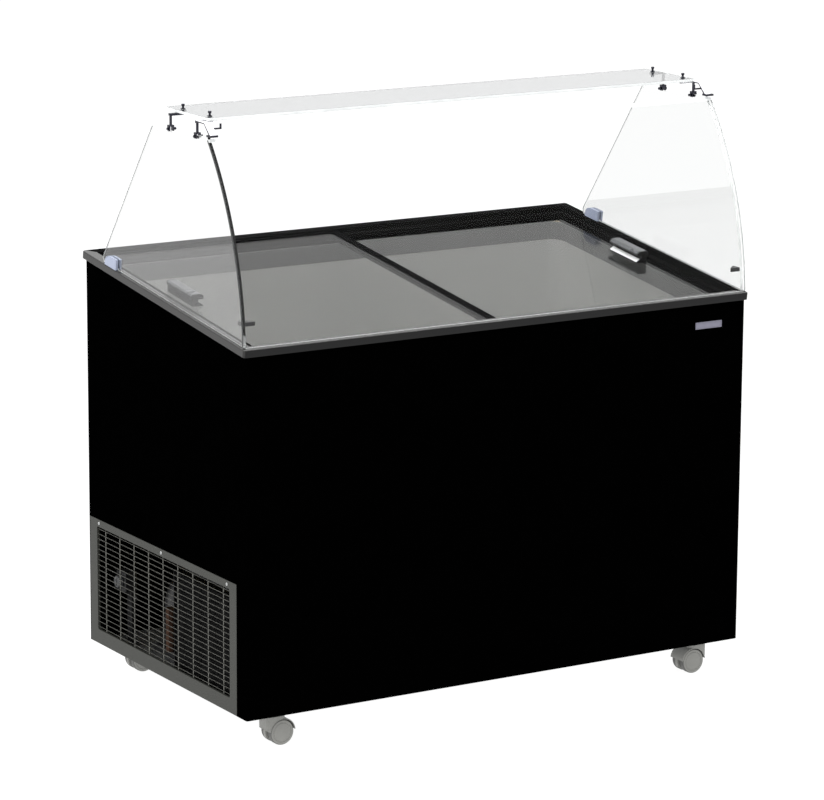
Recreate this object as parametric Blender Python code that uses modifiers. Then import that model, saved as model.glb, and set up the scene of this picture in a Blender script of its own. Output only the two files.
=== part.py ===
"""Sloped-top display chest freezer: steel cabinet with a foam-insulated tub, two sliding glass lids,
a curved glass canopy with a shelf, a machine compartment behind a side grille, and four twin-wheel castors.

Metres, +Z up.  The origin is on the floor under the middle of the cabinet; the customer's side faces -Y and
the machine compartment is on the -X side.  The top is a plane that rises towards the back, so the rim, the
lids and the collar are modelled flat and parented to an empty that tilts them about X.
"""

import math

import bmesh
import bpy
from mathutils import Matrix, Vector

# ---------------------------------------------------------------- driving dimensions
GAP = 0.0003                      # clearance kept between pieces that touch
WIDTH = 1.200                     # cabinet, outside of the steel
DEPTH = 0.690
BASE_Z = 0.070                    # underside of the cabinet: height of the castors
FRONT_HEIGHT = 0.741              # steel casing, base to top, at the front
REAR_HEIGHT = 0.827               # and at the back
SHEET = 0.0012                    # steel sheet
CORNER = 0.004                    # outer radius of the folded sheet
FRONT_WRAP = 0.041                # how far the front panel returns round the sides
REAR_WRAP = 0.004

RIM_HEIGHT = 0.016                # visible face of the plastic rim
RIM_OVERHANG = 0.006
LIP = 0.024                       # top lip of the rim, outside the upper track
TRACK = 0.015                     # width of each lid track
UPPER_TRACK_DROP = 0.011          # below the lip
LOWER_TRACK_DROP = 0.0215
RIM_DROP = 0.0245                 # lowest face of the rim

TUB_X = 0.549                     # half width of the liner
TUB_FRONT = -0.288
TUB_REAR = 0.294
TUB_FLOOR = 0.135
STEP_X = -0.290                   # liner floor steps up over the machine compartment
STEP_FLOOR = 0.390
TUB_RADIUS = 0.032
COIL_SPACE = 0.0125               # between the liner and the foam, where the evaporator runs
COLLAR_DROP = 0.062               # lower edge of the collar under the rim's top

MACHINE_X = -0.335                # inner wall of the machine compartment
GRILLE_TOP = 0.273                # above the base

GLASS = 0.006                     # canopy glass
CANOPY_TOP = 1.220                # top edge of the curved front glass
SIDE_GLASS_TOP = 1.225
FRONT_GLASS_Y = -0.339            # where the front glass stands on the lip
FRONT_GLASS_TOP_Y = -0.199
FRONT_GLASS_LEAN = math.radians(2.0)
SIDE_GLASS_X = 0.597              # middle of each side glass
SIDE_GLASS_REAR = 0.262
SHELF_Z = 1.255
SHELF_HALF = 0.585
SHELF_FRONT = -0.168
SHELF_REAR = 0.015
STUD_X = 0.569
FRONT_STUD_Y = -0.146
REAR_STUD_Y = -0.034

LID_GLASS = 0.004
UPPER_LID = (-0.5755, -0.0020)    # x range of the left lid, which runs in the upper track
LOWER_LID = (-0.0220, 0.5605)     # x range of the right lid, which runs in the lower track
LID_HEIGHT = 0.0067
HANDLE_LENGTH = 0.108
HANDLE_WIDTH = 0.028
HANDLE_HEIGHT = 0.025

CASTOR_X = 0.525                  # swivel axes
CASTOR_Y = 0.300
TRAIL = 0.020
WHEEL_RADIUS = 0.0265
WHEEL_IN = 0.0062                 # a wheel's inner and outer faces, from the middle of the castor
WHEEL_OUT = 0.0215

HALF_W = WIDTH / 2
HALF_D = DEPTH / 2
SLOPE = math.atan2(REAR_HEIGHT - FRONT_HEIGHT, DEPTH)
TOP_Z = BASE_Z + (FRONT_HEIGHT + REAR_HEIGHT) / 2 + RIM_HEIGHT / math.cos(SLOPE)
RIM_X = HALF_W + RIM_OVERHANG
RIM_V = (HALF_D + RIM_OVERHANG) / math.cos(SLOPE)      # half depth measured along the slope


def top_z(y):
    """Height of the rim's top plane at a depth y."""
    return TOP_Z + y * math.tan(SLOPE)


# ---------------------------------------------------------------- scene, collections and materials
for old in list(bpy.data.objects):
    bpy.data.objects.remove(old, do_unlink=True)

parts = bpy.data.collections.new("display_chest_freezer")
cutters = bpy.data.collections.new("cutters")
for collection in (parts, cutters):
    bpy.context.scene.collection.children.link(collection)


def material(name, colour, roughness, metallic=0.0, transmission=0.0):
    made = bpy.data.materials.new(name)
    made.use_nodes = True
    shader = made.node_tree.nodes["Principled BSDF"]
    shader.inputs["Base Color"].default_value = (*colour, 1.0)
    shader.inputs["Roughness"].default_value = roughness
    shader.inputs["Metallic"].default_value = metallic
    shader.inputs["Transmission Weight"].default_value = transmission
    return made


BLACK_STEEL = material("black_steel", (0.006, 0.006, 0.007), 0.35)
GALVANISED = material("galvanised_steel", (0.45, 0.46, 0.47), 0.45, 0.9)
FOAM = material("pu_foam", (0.80, 0.72, 0.45), 0.9)
LINER = material("white_liner", (0.75, 0.77, 0.78), 0.35)
COLLAR = material("grey_collar", (0.22, 0.23, 0.24), 0.5)
RIM_PLASTIC = material("rim_plastic", (0.02, 0.02, 0.022), 0.3)
BLACK_PLASTIC = material("black_plastic", (0.012, 0.012, 0.013), 0.4)
HANDLE_PLASTIC = material("handle_plastic", (0.10, 0.11, 0.12), 0.4)
CLEAR_GLASS = material("clear_glass", (0.93, 0.97, 0.95), 0.03, 0.0, 1.0)
LID_PANE = material("lid_glass", (0.62, 0.66, 0.66), 0.03, 0.0, 1.0)
BRUSH = material("brush_seal", (0.03, 0.03, 0.03), 0.9)
BRACKET = material("bracket_metal", (0.09, 0.09, 0.11), 0.3, 0.9)
HOLDER = material("holder_plastic", (0.42, 0.46, 0.58), 0.4)
GRILLE = material("grille_metal", (0.09, 0.09, 0.08), 0.4, 0.6)
COPPER = material("copper", (0.80, 0.42, 0.26), 0.3, 1.0)
COMPRESSOR = material("compressor_black", (0.02, 0.02, 0.02), 0.4)
ALUMINIUM = material("aluminium", (0.75, 0.76, 0.77), 0.35, 1.0)
CASTOR_GREY = material("castor_grey", (0.26, 0.26, 0.24), 0.5)
TREAD = material("tread", (0.05, 0.05, 0.05), 0.6)
STEEL = material("zinc_steel", (0.6, 0.6, 0.6), 0.3, 1.0)
BADGE = material("badge_plate", (0.42, 0.42, 0.55), 0.3, 0.5)


# ---------------------------------------------------------------- modelling helpers
def place(name, mesh, finish, location=(0, 0, 0), parent=None, collection=parts):
    made = bpy.data.objects.new(name, mesh)
    made.location = location
    made.parent = parent
    collection.objects.link(made)
    if finish:
        mesh.materials.append(finish)
    else:
        made.hide_render = True
        made.display_type = "WIRE"
    return made


def mesh_from(bm, name, smooth_angle=None):
    bmesh.ops.recalc_face_normals(bm, faces=bm.faces)
    mesh = bpy.data.meshes.new(name)
    bm.to_mesh(mesh)
    bm.free()
    if smooth_angle:
        mesh.shade_smooth()
        mesh.set_sharp_from_angle(angle=math.radians(smooth_angle))
    return mesh


def box_mesh(name, size, bevel=0.0, segments=2, only_axis=None):
    """A box about its own centre; only_axis bevels just the edges parallel to that axis."""
    bm = bmesh.new()
    bmesh.ops.create_cube(bm, size=1.0)
    bmesh.ops.scale(bm, vec=size, verts=bm.verts)
    if bevel:
        edges = list(bm.edges)
        if only_axis is not None:
            edges = [e for e in edges if abs((e.verts[0].co - e.verts[1].co)[only_axis]) > 1e-6]
        bmesh.ops.bevel(bm, geom=edges, offset=bevel, segments=segments, profile=0.5, affect="EDGES")
    return mesh_from(bm, name)


def box(name, low, high, finish, parent=None, **shape):
    """A box between two corners."""
    low, high = Vector(low), Vector(high)
    centre = (low + high) / 2
    target = parts if finish else cutters
    return place(name, box_mesh(name, high - low, **shape), finish, centre, parent, target)


def cylinder(name, radius, length, centre, axis, finish, sides=24, bevel=0.0, parent=None, segments=2):
    bm = bmesh.new()
    bmesh.ops.create_cone(bm, cap_ends=True, segments=sides, radius1=radius, radius2=radius, depth=length)
    if bevel:
        rims = [e for e in bm.edges if abs(e.verts[0].co.z - e.verts[1].co.z) < 1e-6]
        bmesh.ops.bevel(bm, geom=rims, offset=bevel, segments=segments, profile=0.5, affect="EDGES")
    turn = {"X": Matrix.Rotation(math.pi / 2, 4, "Y"), "Y": Matrix.Rotation(math.pi / 2, 4, "X")}
    bmesh.ops.transform(bm, matrix=turn.get(axis, Matrix()), verts=bm.verts)
    target = parts if finish else cutters
    return place(name, mesh_from(bm, name, 40), finish, centre, parent, target)


def prism(name, outline, low, high, plane, finish, location=(0, 0, 0), parent=None):
    """An outline of (a, b) points pushed from low to high across its plane, which is YZ, XZ or XY."""
    bm = bmesh.new()
    start = {"YZ": lambda a, b: (low, a, b), "XZ": lambda a, b: (a, low, b), "XY": lambda a, b: (a, b, low)}
    corners = [bm.verts.new(start[plane](a, b)) for a, b in outline]
    loop = [bm.edges.new(pair) for pair in zip(corners, corners[1:] + corners[:1])]
    face = bmesh.ops.edgeloop_fill(bm, edges=loop)["faces"]
    pushed = bmesh.ops.extrude_face_region(bm, geom=face)["geom"]
    travel = {"YZ": (high - low, 0, 0), "XZ": (0, high - low, 0), "XY": (0, 0, high - low)}[plane]
    bmesh.ops.translate(bm, vec=travel, verts=[v for v in pushed if isinstance(v, bmesh.types.BMVert)])
    target = parts if finish else cutters
    return place(name, mesh_from(bm, name), finish, location, parent, target)


def boolean(piece, tool, operation="DIFFERENCE"):
    """Cuts, joins or trims a piece with a tool, which becomes a hidden cutter."""
    if tool.name in parts.objects:
        parts.objects.unlink(tool)
        cutters.objects.link(tool)
        tool.hide_render = True
        tool.display_type = "WIRE"
    modifier = piece.modifiers.new(tool.name, "BOOLEAN")
    modifier.operation = operation
    modifier.solver = "EXACT"
    modifier.object = tool
    return piece


def cut(piece, *tools):
    for tool in tools:
        boolean(piece, tool)
    return piece


def join(piece, *tools):
    for tool in tools:
        boolean(piece, tool, "UNION")
    return piece


def tube(name, points, radius, finish, parent=None, resolution=2):
    """A bent rod or pipe along hand-placed points, as a capped mesh."""
    curve = bpy.data.curves.new(name, "CURVE")
    curve.dimensions = "3D"
    curve.bevel_depth = radius
    curve.bevel_resolution = resolution
    curve.use_fill_caps = True
    spline = curve.splines.new("POLY")
    spline.points.add(len(points) - 1)
    for point, position in zip(spline.points, points):
        point.co = (*position, 1.0)
    source = bpy.data.objects.new(name + "_curve", curve)
    cutters.objects.link(source)
    depsgraph = bpy.context.evaluated_depsgraph_get()
    mesh = bpy.data.meshes.new_from_object(source.evaluated_get(depsgraph))
    bpy.data.objects.remove(source)
    bm = bmesh.new()
    bm.from_mesh(mesh)
    bmesh.ops.remove_doubles(bm, verts=bm.verts, dist=0.00005)
    return place(name, mesh_from(bm, name, 50), finish, parent=parent)


def rounded_route(corners, radius, steps=3):
    """Points along straight runs whose corners are turned with arcs of the given radius."""
    route = [Vector(corners[0])]
    for before, corner, after in zip(corners, corners[1:], corners[2:]):
        before, corner, after = Vector(before), Vector(corner), Vector(after)
        start = corner + (before - corner).normalized() * radius
        end = corner + (after - corner).normalized() * radius
        for step in range(steps + 1):
            t = step / steps
            route.append(start * (1 - t) ** 2 + corner * (2 * t * (1 - t)) + end * t ** 2)
    route.append(Vector(corners[-1]))
    return route


# ---------------------------------------------------------------- the sloping top
slope = bpy.data.objects.new("top_slope", None)
slope.location = (0, 0, TOP_Z)
slope.rotation_euler = (SLOPE, 0, 0)
parts.objects.link(slope)


def trim_above(piece, drop):
    """Removes what stands above a plane parallel to the rim's top and drop below it."""
    tool = box(piece.name + "_trim", (-0.8, -0.6, -drop), (0.8, 0.6, 0.5), None, slope)
    return boolean(piece, tool)


# ---------------------------------------------------------------- steel casing
def folded_panel(name, face_y, wrap):
    """A flat panel across the cabinet whose two ends return a short way round the sides."""
    inward = 1 if face_y < 0 else -1
    bm = bmesh.new()
    plan = [(-HALF_W, face_y + inward * wrap), (-HALF_W, face_y), (HALF_W, face_y),
            (HALF_W, face_y + inward * wrap)]
    verts = [bm.verts.new((x, y, BASE_Z)) for x, y in plan]
    edges = [bm.edges.new(pair) for pair in zip(verts, verts[1:])]
    raised = bmesh.ops.extrude_edge_only(bm, edges=edges)["geom"]
    bmesh.ops.translate(bm, vec=(0, 0, REAR_HEIGHT + 0.05),
                        verts=[v for v in raised if isinstance(v, bmesh.types.BMVert)])
    folds = [e for e in bm.edges if len(e.link_faces) == 2]
    bmesh.ops.bevel(bm, geom=folds, offset=min(CORNER, wrap * 0.7), segments=3, profile=0.5, affect="EDGES")
    panel = place(name, mesh_from(bm, name, 30), BLACK_STEEL)
    for polygon in panel.data.polygons:
        outward = Vector((polygon.center.x / 20, polygon.center.y - face_y / 2, 0))
        if polygon.normal.dot(outward) < 0:
            panel.data.flip_normals()
            break
    sheet = panel.modifiers.new("sheet", "SOLIDIFY")
    sheet.thickness = SHEET
    sheet.offset = -1.0
    return trim_above(panel, RIM_HEIGHT + GAP)


front_panel = folded_panel("front_panel", -HALF_D, FRONT_WRAP)
rear_panel = folded_panel("rear_panel", HALF_D, REAR_WRAP)
SIDE_FRONT = -HALF_D + FRONT_WRAP + GAP
SIDE_REAR = HALF_D - REAR_WRAP - GAP
PANEL_FEET = ((-1, "left_side_panel", BASE_Z + GRILLE_TOP + GAP), (1, "right_side_panel", BASE_Z))
for side, name, foot in PANEL_FEET:
    xs = sorted((side * HALF_W, side * (HALF_W - SHEET)))
    panel = box(name, (xs[0], SIDE_FRONT, foot), (xs[1], SIDE_REAR, 1.0), BLACK_STEEL)
    trim_above(panel, RIM_HEIGHT + GAP)

INNER_X = HALF_W - SHEET - GAP
INNER_Y = HALF_D - SHEET - GAP
FLOOR_PLATE = 0.002
base_tray = box("base_tray", (-INNER_X, -INNER_Y, BASE_Z), (INNER_X, INNER_Y, BASE_Z + FLOOR_PLATE),
                GALVANISED, bevel=CORNER, only_axis=2)

INLET = Vector((-0.500, HALF_D, 0.150))            # where the mains lead enters the rear panel
cut(rear_panel, cylinder("inlet_hole", 0.0095, 0.02, INLET, "Y", None, sides=20))
mains_inlet = cylinder("mains_inlet", 0.0135, 0.0035, INLET + Vector((0, GAP + 0.00175, 0)), "Y",
                       BLACK_PLASTIC, sides=20, bevel=0.001)
join(mains_inlet, cylinder("inlet_sleeve", 0.0091, 0.016, INLET - Vector((0, 0.006, 0)), "Y", BLACK_PLASTIC,
                           sides=20))
cut(mains_inlet, cylinder("inlet_bore", 0.0042, 0.06, INLET, "Y", None, sides=12))


# ---------------------------------------------------------------- tub: liner, foam, collar and evaporator
def tub_solid(name, grow):
    """The storage space as a solid, with the step over the machine compartment, grown outwards by grow."""
    roof = TOP_Z + 0.2
    outline = [(-TUB_X - grow, STEP_FLOOR - grow), (STEP_X - grow, STEP_FLOOR - grow),
               (STEP_X - grow, TUB_FLOOR - grow), (TUB_X + grow, TUB_FLOOR - grow),
               (TUB_X + grow, roof), (-TUB_X - grow, roof)]
    solid = prism(name, outline, TUB_FRONT - grow, TUB_REAR + grow, "XZ", None)
    bm = bmesh.new()
    bm.from_mesh(solid.data)
    bmesh.ops.bevel(bm, geom=list(bm.edges), offset=TUB_RADIUS + grow, segments=3, profile=0.5,
                    affect="EDGES")
    bmesh.ops.recalc_face_normals(bm, faces=bm.faces)
    bm.to_mesh(solid.data)
    bm.free()
    return solid


storage = tub_solid("storage_space", 0.0)
bm = bmesh.new()
bm.from_mesh(storage.data)
slope_normal = Vector((0, -math.sin(SLOPE), math.cos(SLOPE)))
cut_point = Vector((0, 0, TOP_Z)) - slope_normal * (COLLAR_DROP + GAP)
bmesh.ops.bisect_plane(bm, geom=bm.verts[:] + bm.edges[:] + bm.faces[:], plane_co=cut_point,
                       plane_no=slope_normal, clear_outer=True)
liner_tub = place("liner_tub", mesh_from(bm, "liner_tub", 50), LINER)
lining = liner_tub.modifiers.new("sheet", "SOLIDIFY")
lining.thickness = SHEET
lining.offset = 1.0
bpy.data.objects.remove(storage)

insulation = box("insulation", (-INNER_X, -INNER_Y, BASE_Z + FLOOR_PLATE + GAP), (INNER_X, INNER_Y, 1.0),
                 FOAM, bevel=CORNER, only_axis=2)
trim_above(insulation, RIM_DROP + GAP)
cut(insulation, tub_solid("foam_cavity", COIL_SPACE),
    box("machine_space", (-0.7, -0.5, 0.0), (MACHINE_X, 0.5, BASE_Z + GRILLE_TOP + GAP), None))

COLLAR_WALL = 0.0115
COLLAR_STEP = 0.0005                               # the collar stands this far back from the liner's face


def collar_block(name, grow, low_z, high_z, finish):
    """The tub's plan as a block with rounded upright corners, grown outwards by grow."""
    low, high = (-TUB_X - grow, TUB_FRONT - grow, low_z), (TUB_X + grow, TUB_REAR + grow, high_z)
    return box(name, low, high, finish, bevel=TUB_RADIUS + grow, segments=3, only_axis=2)


liner_collar = collar_block("liner_collar", COLLAR_STEP + COLLAR_WALL, 0.6, 1.0, COLLAR)
cut(liner_collar, collar_block("collar_opening", COLLAR_STEP, 0.5, 1.1, None),
    box("collar_foot", (-0.8, -0.6, -0.6), (0.8, 0.6, -COLLAR_DROP), None, slope))
trim_above(liner_collar, RIM_DROP + GAP)


def evaporator_route():
    """Four turns round the tub, each a pitch lower than the one before."""
    off_liner = 0.0066
    x, front, rear = TUB_X + off_liner, TUB_FRONT - off_liner, TUB_REAR + off_liner
    top, turns, pitch = 0.735, 4, 0.070
    corners = [(-x, 0.0, top)]
    for turn in range(turns):
        z = top - turn * pitch
        corners += [(-x, front, z), (x, front, z - pitch / 3)]
        corners += [(x, rear, z - 2 * pitch / 3), (-x, rear, z - pitch)]
    corners.append((-x, 0.0, top - turns * pitch))
    return rounded_route(corners, TUB_RADIUS + 0.012, steps=3)


evaporator_coil = tube("evaporator_coil", evaporator_route(), 0.0035, COPPER)


# ---------------------------------------------------------------- rim with its two lid tracks
def rim_space(name, inset, drop):
    """The space inside the rim, inset from its outer edge, open above a depth of drop."""
    x, v = RIM_X - inset, RIM_V - inset
    return box(name, (-x, -v, -drop), (x, v, 0.05), None, slope)


top_rim = box("top_rim", (-RIM_X, -RIM_V, -RIM_DROP), (RIM_X, RIM_V, 0.0), RIM_PLASTIC, slope,
              bevel=0.006, segments=3, only_axis=2)
top_rim_skirt = box("rim_underside", (-0.8, -0.6, -0.05), (0.8, 0.6, -RIM_HEIGHT), None, slope)
cut(top_rim_skirt, box("rim_hanging_part", (-RIM_X + 0.036, -RIM_V + 0.036, -0.06),
                       (RIM_X - 0.036, RIM_V - 0.036, 0.02), None, slope))
cut(top_rim, rim_space("upper_track", LIP, UPPER_TRACK_DROP),
    rim_space("lower_track", LIP + TRACK, LOWER_TRACK_DROP),
    rim_space("rim_opening", LIP + 2 * TRACK, 0.05), top_rim_skirt)
edge = top_rim.modifiers.new("soft_edges", "BEVEL")
edge.width = 0.0012
edge.segments = 1
edge.limit_method = "ANGLE"
edge.angle_limit = math.radians(50)


# ---------------------------------------------------------------- sliding lids
def sliding_lid(side, x_range, track_drop, half_v, bar_end):
    """Glass in a slim frame whose end profile over the other lid is a wide bar."""
    low, high = x_range
    foot = -track_drop + GAP
    top = foot + LID_HEIGHT
    slim, bar = 0.006, 0.020
    left = bar if bar_end == "low" else slim
    right = bar if bar_end == "high" else slim
    frame = box(side + "_lid_frame", (low, -half_v, foot), (high, half_v, top), BLACK_PLASTIC, slope,
                bevel=0.0008, segments=1)
    pane_low = (low + left, -half_v + slim, foot + 0.0012)
    pane_high = (high - right, half_v - slim, foot + 0.0012 + LID_GLASS)
    cut(frame, box(side + "_lid_opening", (*pane_low[:2], -0.1), (*pane_high[:2], 0.1), None, slope))
    shrink = Vector((GAP, GAP, 0))
    box(side + "_lid_glass", Vector(pane_low) + shrink, Vector(pane_high) - shrink, LID_PANE, slope)
    return pane_high[2]


def lid_handle(side, x_inner, direction, foot):
    """A T-shaped grip: an overhanging bar on a stem, with a ramp that leads the fingers under the bar."""
    w, h = HANDLE_WIDTH, HANDLE_HEIGHT
    stem_low, stem_high, underside = 0.0125, w - 0.003, 0.0145
    profile = [(0, 0), (stem_high, 0), (stem_high, underside), (w, underside + 0.002), (w, h - 0.003),
               (w - 0.003, h), (0.004, h), (0, h - 0.004), (0, underside + 0.002), (0.0015, underside),
               (stem_low, underside), (stem_low, 0.0095), (0.0015, 0.0022), (0, 0.0015)]
    half = HANDLE_LENGTH / 2
    return prism(side + "_lid_handle", [(direction * a, b) for a, b in profile], -half, half, "XZ",
                 HANDLE_PLASTIC, (x_inner, 0, foot + GAP), slope)


UPPER_V = RIM_V - LIP - 0.0012
LOWER_V = RIM_V - LIP - TRACK - 0.0012
upper_pane_top = sliding_lid("left", UPPER_LID, UPPER_TRACK_DROP, UPPER_V, "high")
lower_pane_top = sliding_lid("right", LOWER_LID, LOWER_TRACK_DROP, LOWER_V, "low")
LEFT_HANDLE_INSET, RIGHT_HANDLE_INSET = 0.0150, 0.0085
left_lid_handle = lid_handle("left", UPPER_LID[0] + LEFT_HANDLE_INSET + HANDLE_WIDTH, -1, upper_pane_top)
right_lid_handle = lid_handle("right", LOWER_LID[1] - RIGHT_HANDLE_INSET - HANDLE_WIDTH, 1, lower_pane_top)
lid_gap_top = -UPPER_TRACK_DROP + GAP
lid_gap_foot = -LOWER_TRACK_DROP + GAP + LID_HEIGHT
left_lid_brush = box("left_lid_brush", (UPPER_LID[1] - 0.013, -LOWER_V + 0.004, lid_gap_foot + GAP),
                     (UPPER_LID[1] - 0.007, LOWER_V - 0.004, lid_gap_top - GAP), BRUSH, slope)


# ---------------------------------------------------------------- canopy glass
def front_glass_arc(offset=0.0, steps=12, start=0.0, stop=1.0):
    """Points (y, z) up the curved front glass; offset moves them towards the back of the cabinet."""
    foot_z = top_z(FRONT_GLASS_Y) + 0.0006
    rise, run = CANOPY_TOP - foot_z, FRONT_GLASS_TOP_Y - FRONT_GLASS_Y
    last = 2 * math.atan2(run, rise) - FRONT_GLASS_LEAN
    radius = rise / (math.sin(last) - math.sin(FRONT_GLASS_LEAN))
    centre_y = FRONT_GLASS_Y + radius * math.cos(FRONT_GLASS_LEAN)
    centre_z = foot_z - radius * math.sin(FRONT_GLASS_LEAN)
    points = []
    for step in range(steps + 1):
        angle = FRONT_GLASS_LEAN + (last - FRONT_GLASS_LEAN) * (start + (stop - start) * step / steps)
        reach = radius - offset
        points.append((centre_y - reach * math.cos(angle), centre_z + reach * math.sin(angle)))
    return points


front_outline = front_glass_arc(-GLASS / 2) + front_glass_arc(GLASS / 2)[::-1]
front_glass = prism("front_glass", front_outline, -0.603, 0.603, "YZ", CLEAR_GLASS)

behind_front = front_glass_arc(GLASS / 2 + GAP)
foot_y = behind_front[0][0]
side_outline = [(foot_y, top_z(foot_y) + 0.0006), (SIDE_GLASS_REAR, top_z(SIDE_GLASS_REAR) + 0.0006),
                (SIDE_GLASS_REAR + 0.004, top_z(SIDE_GLASS_REAR) + 0.012), (0.040, SIDE_GLASS_TOP - 0.006),
                (0.030, SIDE_GLASS_TOP), (behind_front[-1][0] + 0.002, SIDE_GLASS_TOP)]
side_outline += behind_front[1:][::-1]
HOLDER_V = (0.200, 0.250)                          # rear holders of the side glasses, along the slope
HOLDER_FLOOR = 0.0034
for side, name in ((-1, "left_side_glass"), (1, "right_side_glass")):
    middle = side * SIDE_GLASS_X
    pane = prism(name, side_outline, middle - GLASS / 2, middle + GLASS / 2, "YZ", CLEAR_GLASS)
    cut(pane, box(name + "_notch", (middle - 0.02, HOLDER_V[0] - GAP, -0.02),
                  (middle + 0.02, HOLDER_V[1] + GAP, HOLDER_FLOOR + GAP), None, slope))

top_shelf = box("top_shelf", (-SHELF_HALF, SHELF_FRONT, SHELF_Z - GLASS / 2),
                (SHELF_HALF, SHELF_REAR, SHELF_Z + GLASS / 2), CLEAR_GLASS, bevel=0.0015, segments=1)
STUD_RADIUS = 0.0028


# ---------------------------------------------------------------- canopy brackets, knobs, clips and holders
ARM_TOP = SHELF_Z - GLASS / 2 - GAP
ARM_FOOT = ARM_TOP - 0.005
CLIP_CHEEK = 0.0025
CLIP_TOP = SIDE_GLASS_TOP + GAP + 0.003


def glass_clip(name, side, stud_y):
    """A short saddle over the top edge of a side glass, with a clamping screw's head on each cheek."""
    half = GLASS / 2 + GAP
    middle = side * SIDE_GLASS_X
    foot = SIDE_GLASS_TOP - 0.009
    clip = box(name, (middle - half - CLIP_CHEEK, stud_y - 0.005, foot),
               (middle + half + CLIP_CHEEK, stud_y + 0.005, CLIP_TOP), BRACKET, bevel=0.0006, segments=1)
    for out, reach in ((1, 0.0085), (-1, 0.0115)):
        length = reach - half - 0.001
        join(clip, cylinder(f"{name}_head_{out}", 0.0028, length,
                            (middle + side * out * (reach - length / 2), stud_y, foot + 0.0045), "X", BRACKET,
                            sides=12))
    return cut(clip, box(name + "_slot", (middle - half, stud_y - 0.02, SIDE_GLASS_TOP - 0.03),
                         (middle + half, stud_y + 0.02, SIDE_GLASS_TOP + GAP), None))


def shelf_arm(name, side, stud_y):
    """The post above a clip and the arm under the shelf that the knob screws into."""
    low, high = sorted((side * (STUD_X - 0.006), side * (SIDE_GLASS_X + 0.003)))
    arm = box(name + "_arm", (low, stud_y - 0.0038, ARM_FOOT), (high, stud_y + 0.0038, ARM_TOP), BRACKET)
    post = sorted((side * (SIDE_GLASS_X - 0.002), side * (SIDE_GLASS_X + 0.002)))
    riser = box(name + "_post", (post[0], stud_y - 0.002, CLIP_TOP - 0.001),
                (post[1], stud_y + 0.002, ARM_TOP - 0.001), BRACKET)
    thread = cylinder(name + "_thread", STUD_RADIUS + GAP, 0.02, (side * STUD_X, stud_y, ARM_TOP), "Z", None,
                      sides=12)
    return arm, riser, thread


def front_glass_clamp(name, side, stud_y):
    """The flat strap that reaches forward to the top of the front glass, and its cross screw."""
    top_y, top_edge = front_glass_arc()[-1]
    low, high = sorted((side * (SIDE_GLASS_X - 0.0115), side * (SIDE_GLASS_X + 0.0035)))
    bend_y, level, thick = stud_y - 0.034, ARM_TOP - 0.0005, 0.0022
    reach = [(stud_y, level), (bend_y - 0.001, level), (top_y - 0.006, top_edge + 0.0095),
             (top_y - 0.002, top_edge + 0.0075), (bend_y + 0.0002, level - thick), (stud_y, level - thick)]
    strap = prism(name + "_strap", reach, low, high, "YZ", BRACKET)
    saddle = box(name + "_saddle", (low - (0.003 if side < 0 else 0.0), top_y - 0.012, top_edge + 0.0058),
                 (high + (0.003 if side > 0 else 0.0), top_y + 0.004, top_edge + 0.0098), BRACKET)
    screw_y, screw_z, inner = (bend_y + top_y) / 2, (level + top_edge + 0.0085) / 2, SIDE_GLASS_X - 0.0285
    screw = cylinder(name + "_screw", 0.0018, 0.020, (side * (inner + 0.010), screw_y, screw_z), "X", BRACKET,
                     sides=10)
    lever = cylinder(name + "_screw_lever", 0.0022, 0.011, (side * inner, screw_y, screw_z + 0.0040), "Z",
                     BRACKET, sides=10)
    return strap, saddle, screw, lever


for side, word in ((-1, "left"), (1, "right")):
    rear = glass_clip("rear_bracket_" + word, side, REAR_STUD_Y)
    arm, riser, thread = shelf_arm("rear_bracket_" + word, side, REAR_STUD_Y)
    cut(join(rear, riser, arm), thread)
    front = glass_clip("front_bracket_" + word, side, FRONT_STUD_Y)
    arm, riser, thread = shelf_arm("front_bracket_" + word, side, FRONT_STUD_Y)
    strap, saddle, screw, lever = front_glass_clamp("front_bracket_" + word, side, FRONT_STUD_Y)
    cut(join(front, riser, arm, strap, saddle, screw, lever), thread)
    for place_word, stud_y in (("rear", REAR_STUD_Y), ("front", FRONT_STUD_Y)):
        name = place_word + "_shelf_knob_" + word
        head_z = SHELF_Z + GLASS / 2 + GAP
        at = Vector((side * STUD_X, stud_y, head_z))
        knob = cylinder(name, 0.0050, 0.0015, at + Vector((0, 0, 0.00075)), "Z", BRACKET, sides=16)
        join(knob,
             cylinder(name + "_stem", 0.0024, 0.018, at - Vector((0, 0, 0.001)), "Z", BRACKET, sides=12),
             cylinder(name + "_grip", 0.0036, 0.0045, at + Vector((0, 0, 0.00825)), "Z", BRACKET, sides=12,
                      bevel=0.0008, segments=1))
        cut(top_shelf, cylinder(name + "_hole", STUD_RADIUS + 0.0007, 0.03, (side * STUD_X, stud_y, SHELF_Z),
                                "Z", None, sides=16))

    inner = side * (SIDE_GLASS_X - GLASS / 2 - GAP)
    clip_z = top_z(FRONT_GLASS_Y) + 0.042
    glass_y = front_glass_arc(GLASS / 2, 24)[3][0] + GAP
    far, deep = inner - side * 0.022, glass_y + 0.022
    outline = [(inner, glass_y), (far, glass_y), (far, glass_y + 0.003), (inner - side * 0.003, deep),
               (inner, deep)]
    prism("front_clip_" + word, outline, clip_z, clip_z + 0.008, "XY", BLACK_PLASTIC)

    half = GLASS / 2 + GAP
    middle = side * SIDE_GLASS_X
    low_v, high_v = HOLDER_V
    outline = [(low_v, GAP), (high_v, GAP), (high_v, 0.009), (high_v - 0.003, 0.016), (high_v - 0.010, 0.021),
               (high_v - 0.020, 0.023), (low_v, 0.023)]
    holder = prism("rear_glass_holder_" + word, outline, middle - half - 0.0052, middle + half + 0.0052, "YZ",
                   HOLDER, parent=slope)
    cut(holder, box("holder_slot_" + word, (middle - half, 0.15, HOLDER_FLOOR), (middle + half, 0.30, 0.08),
                    None, slope))


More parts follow.
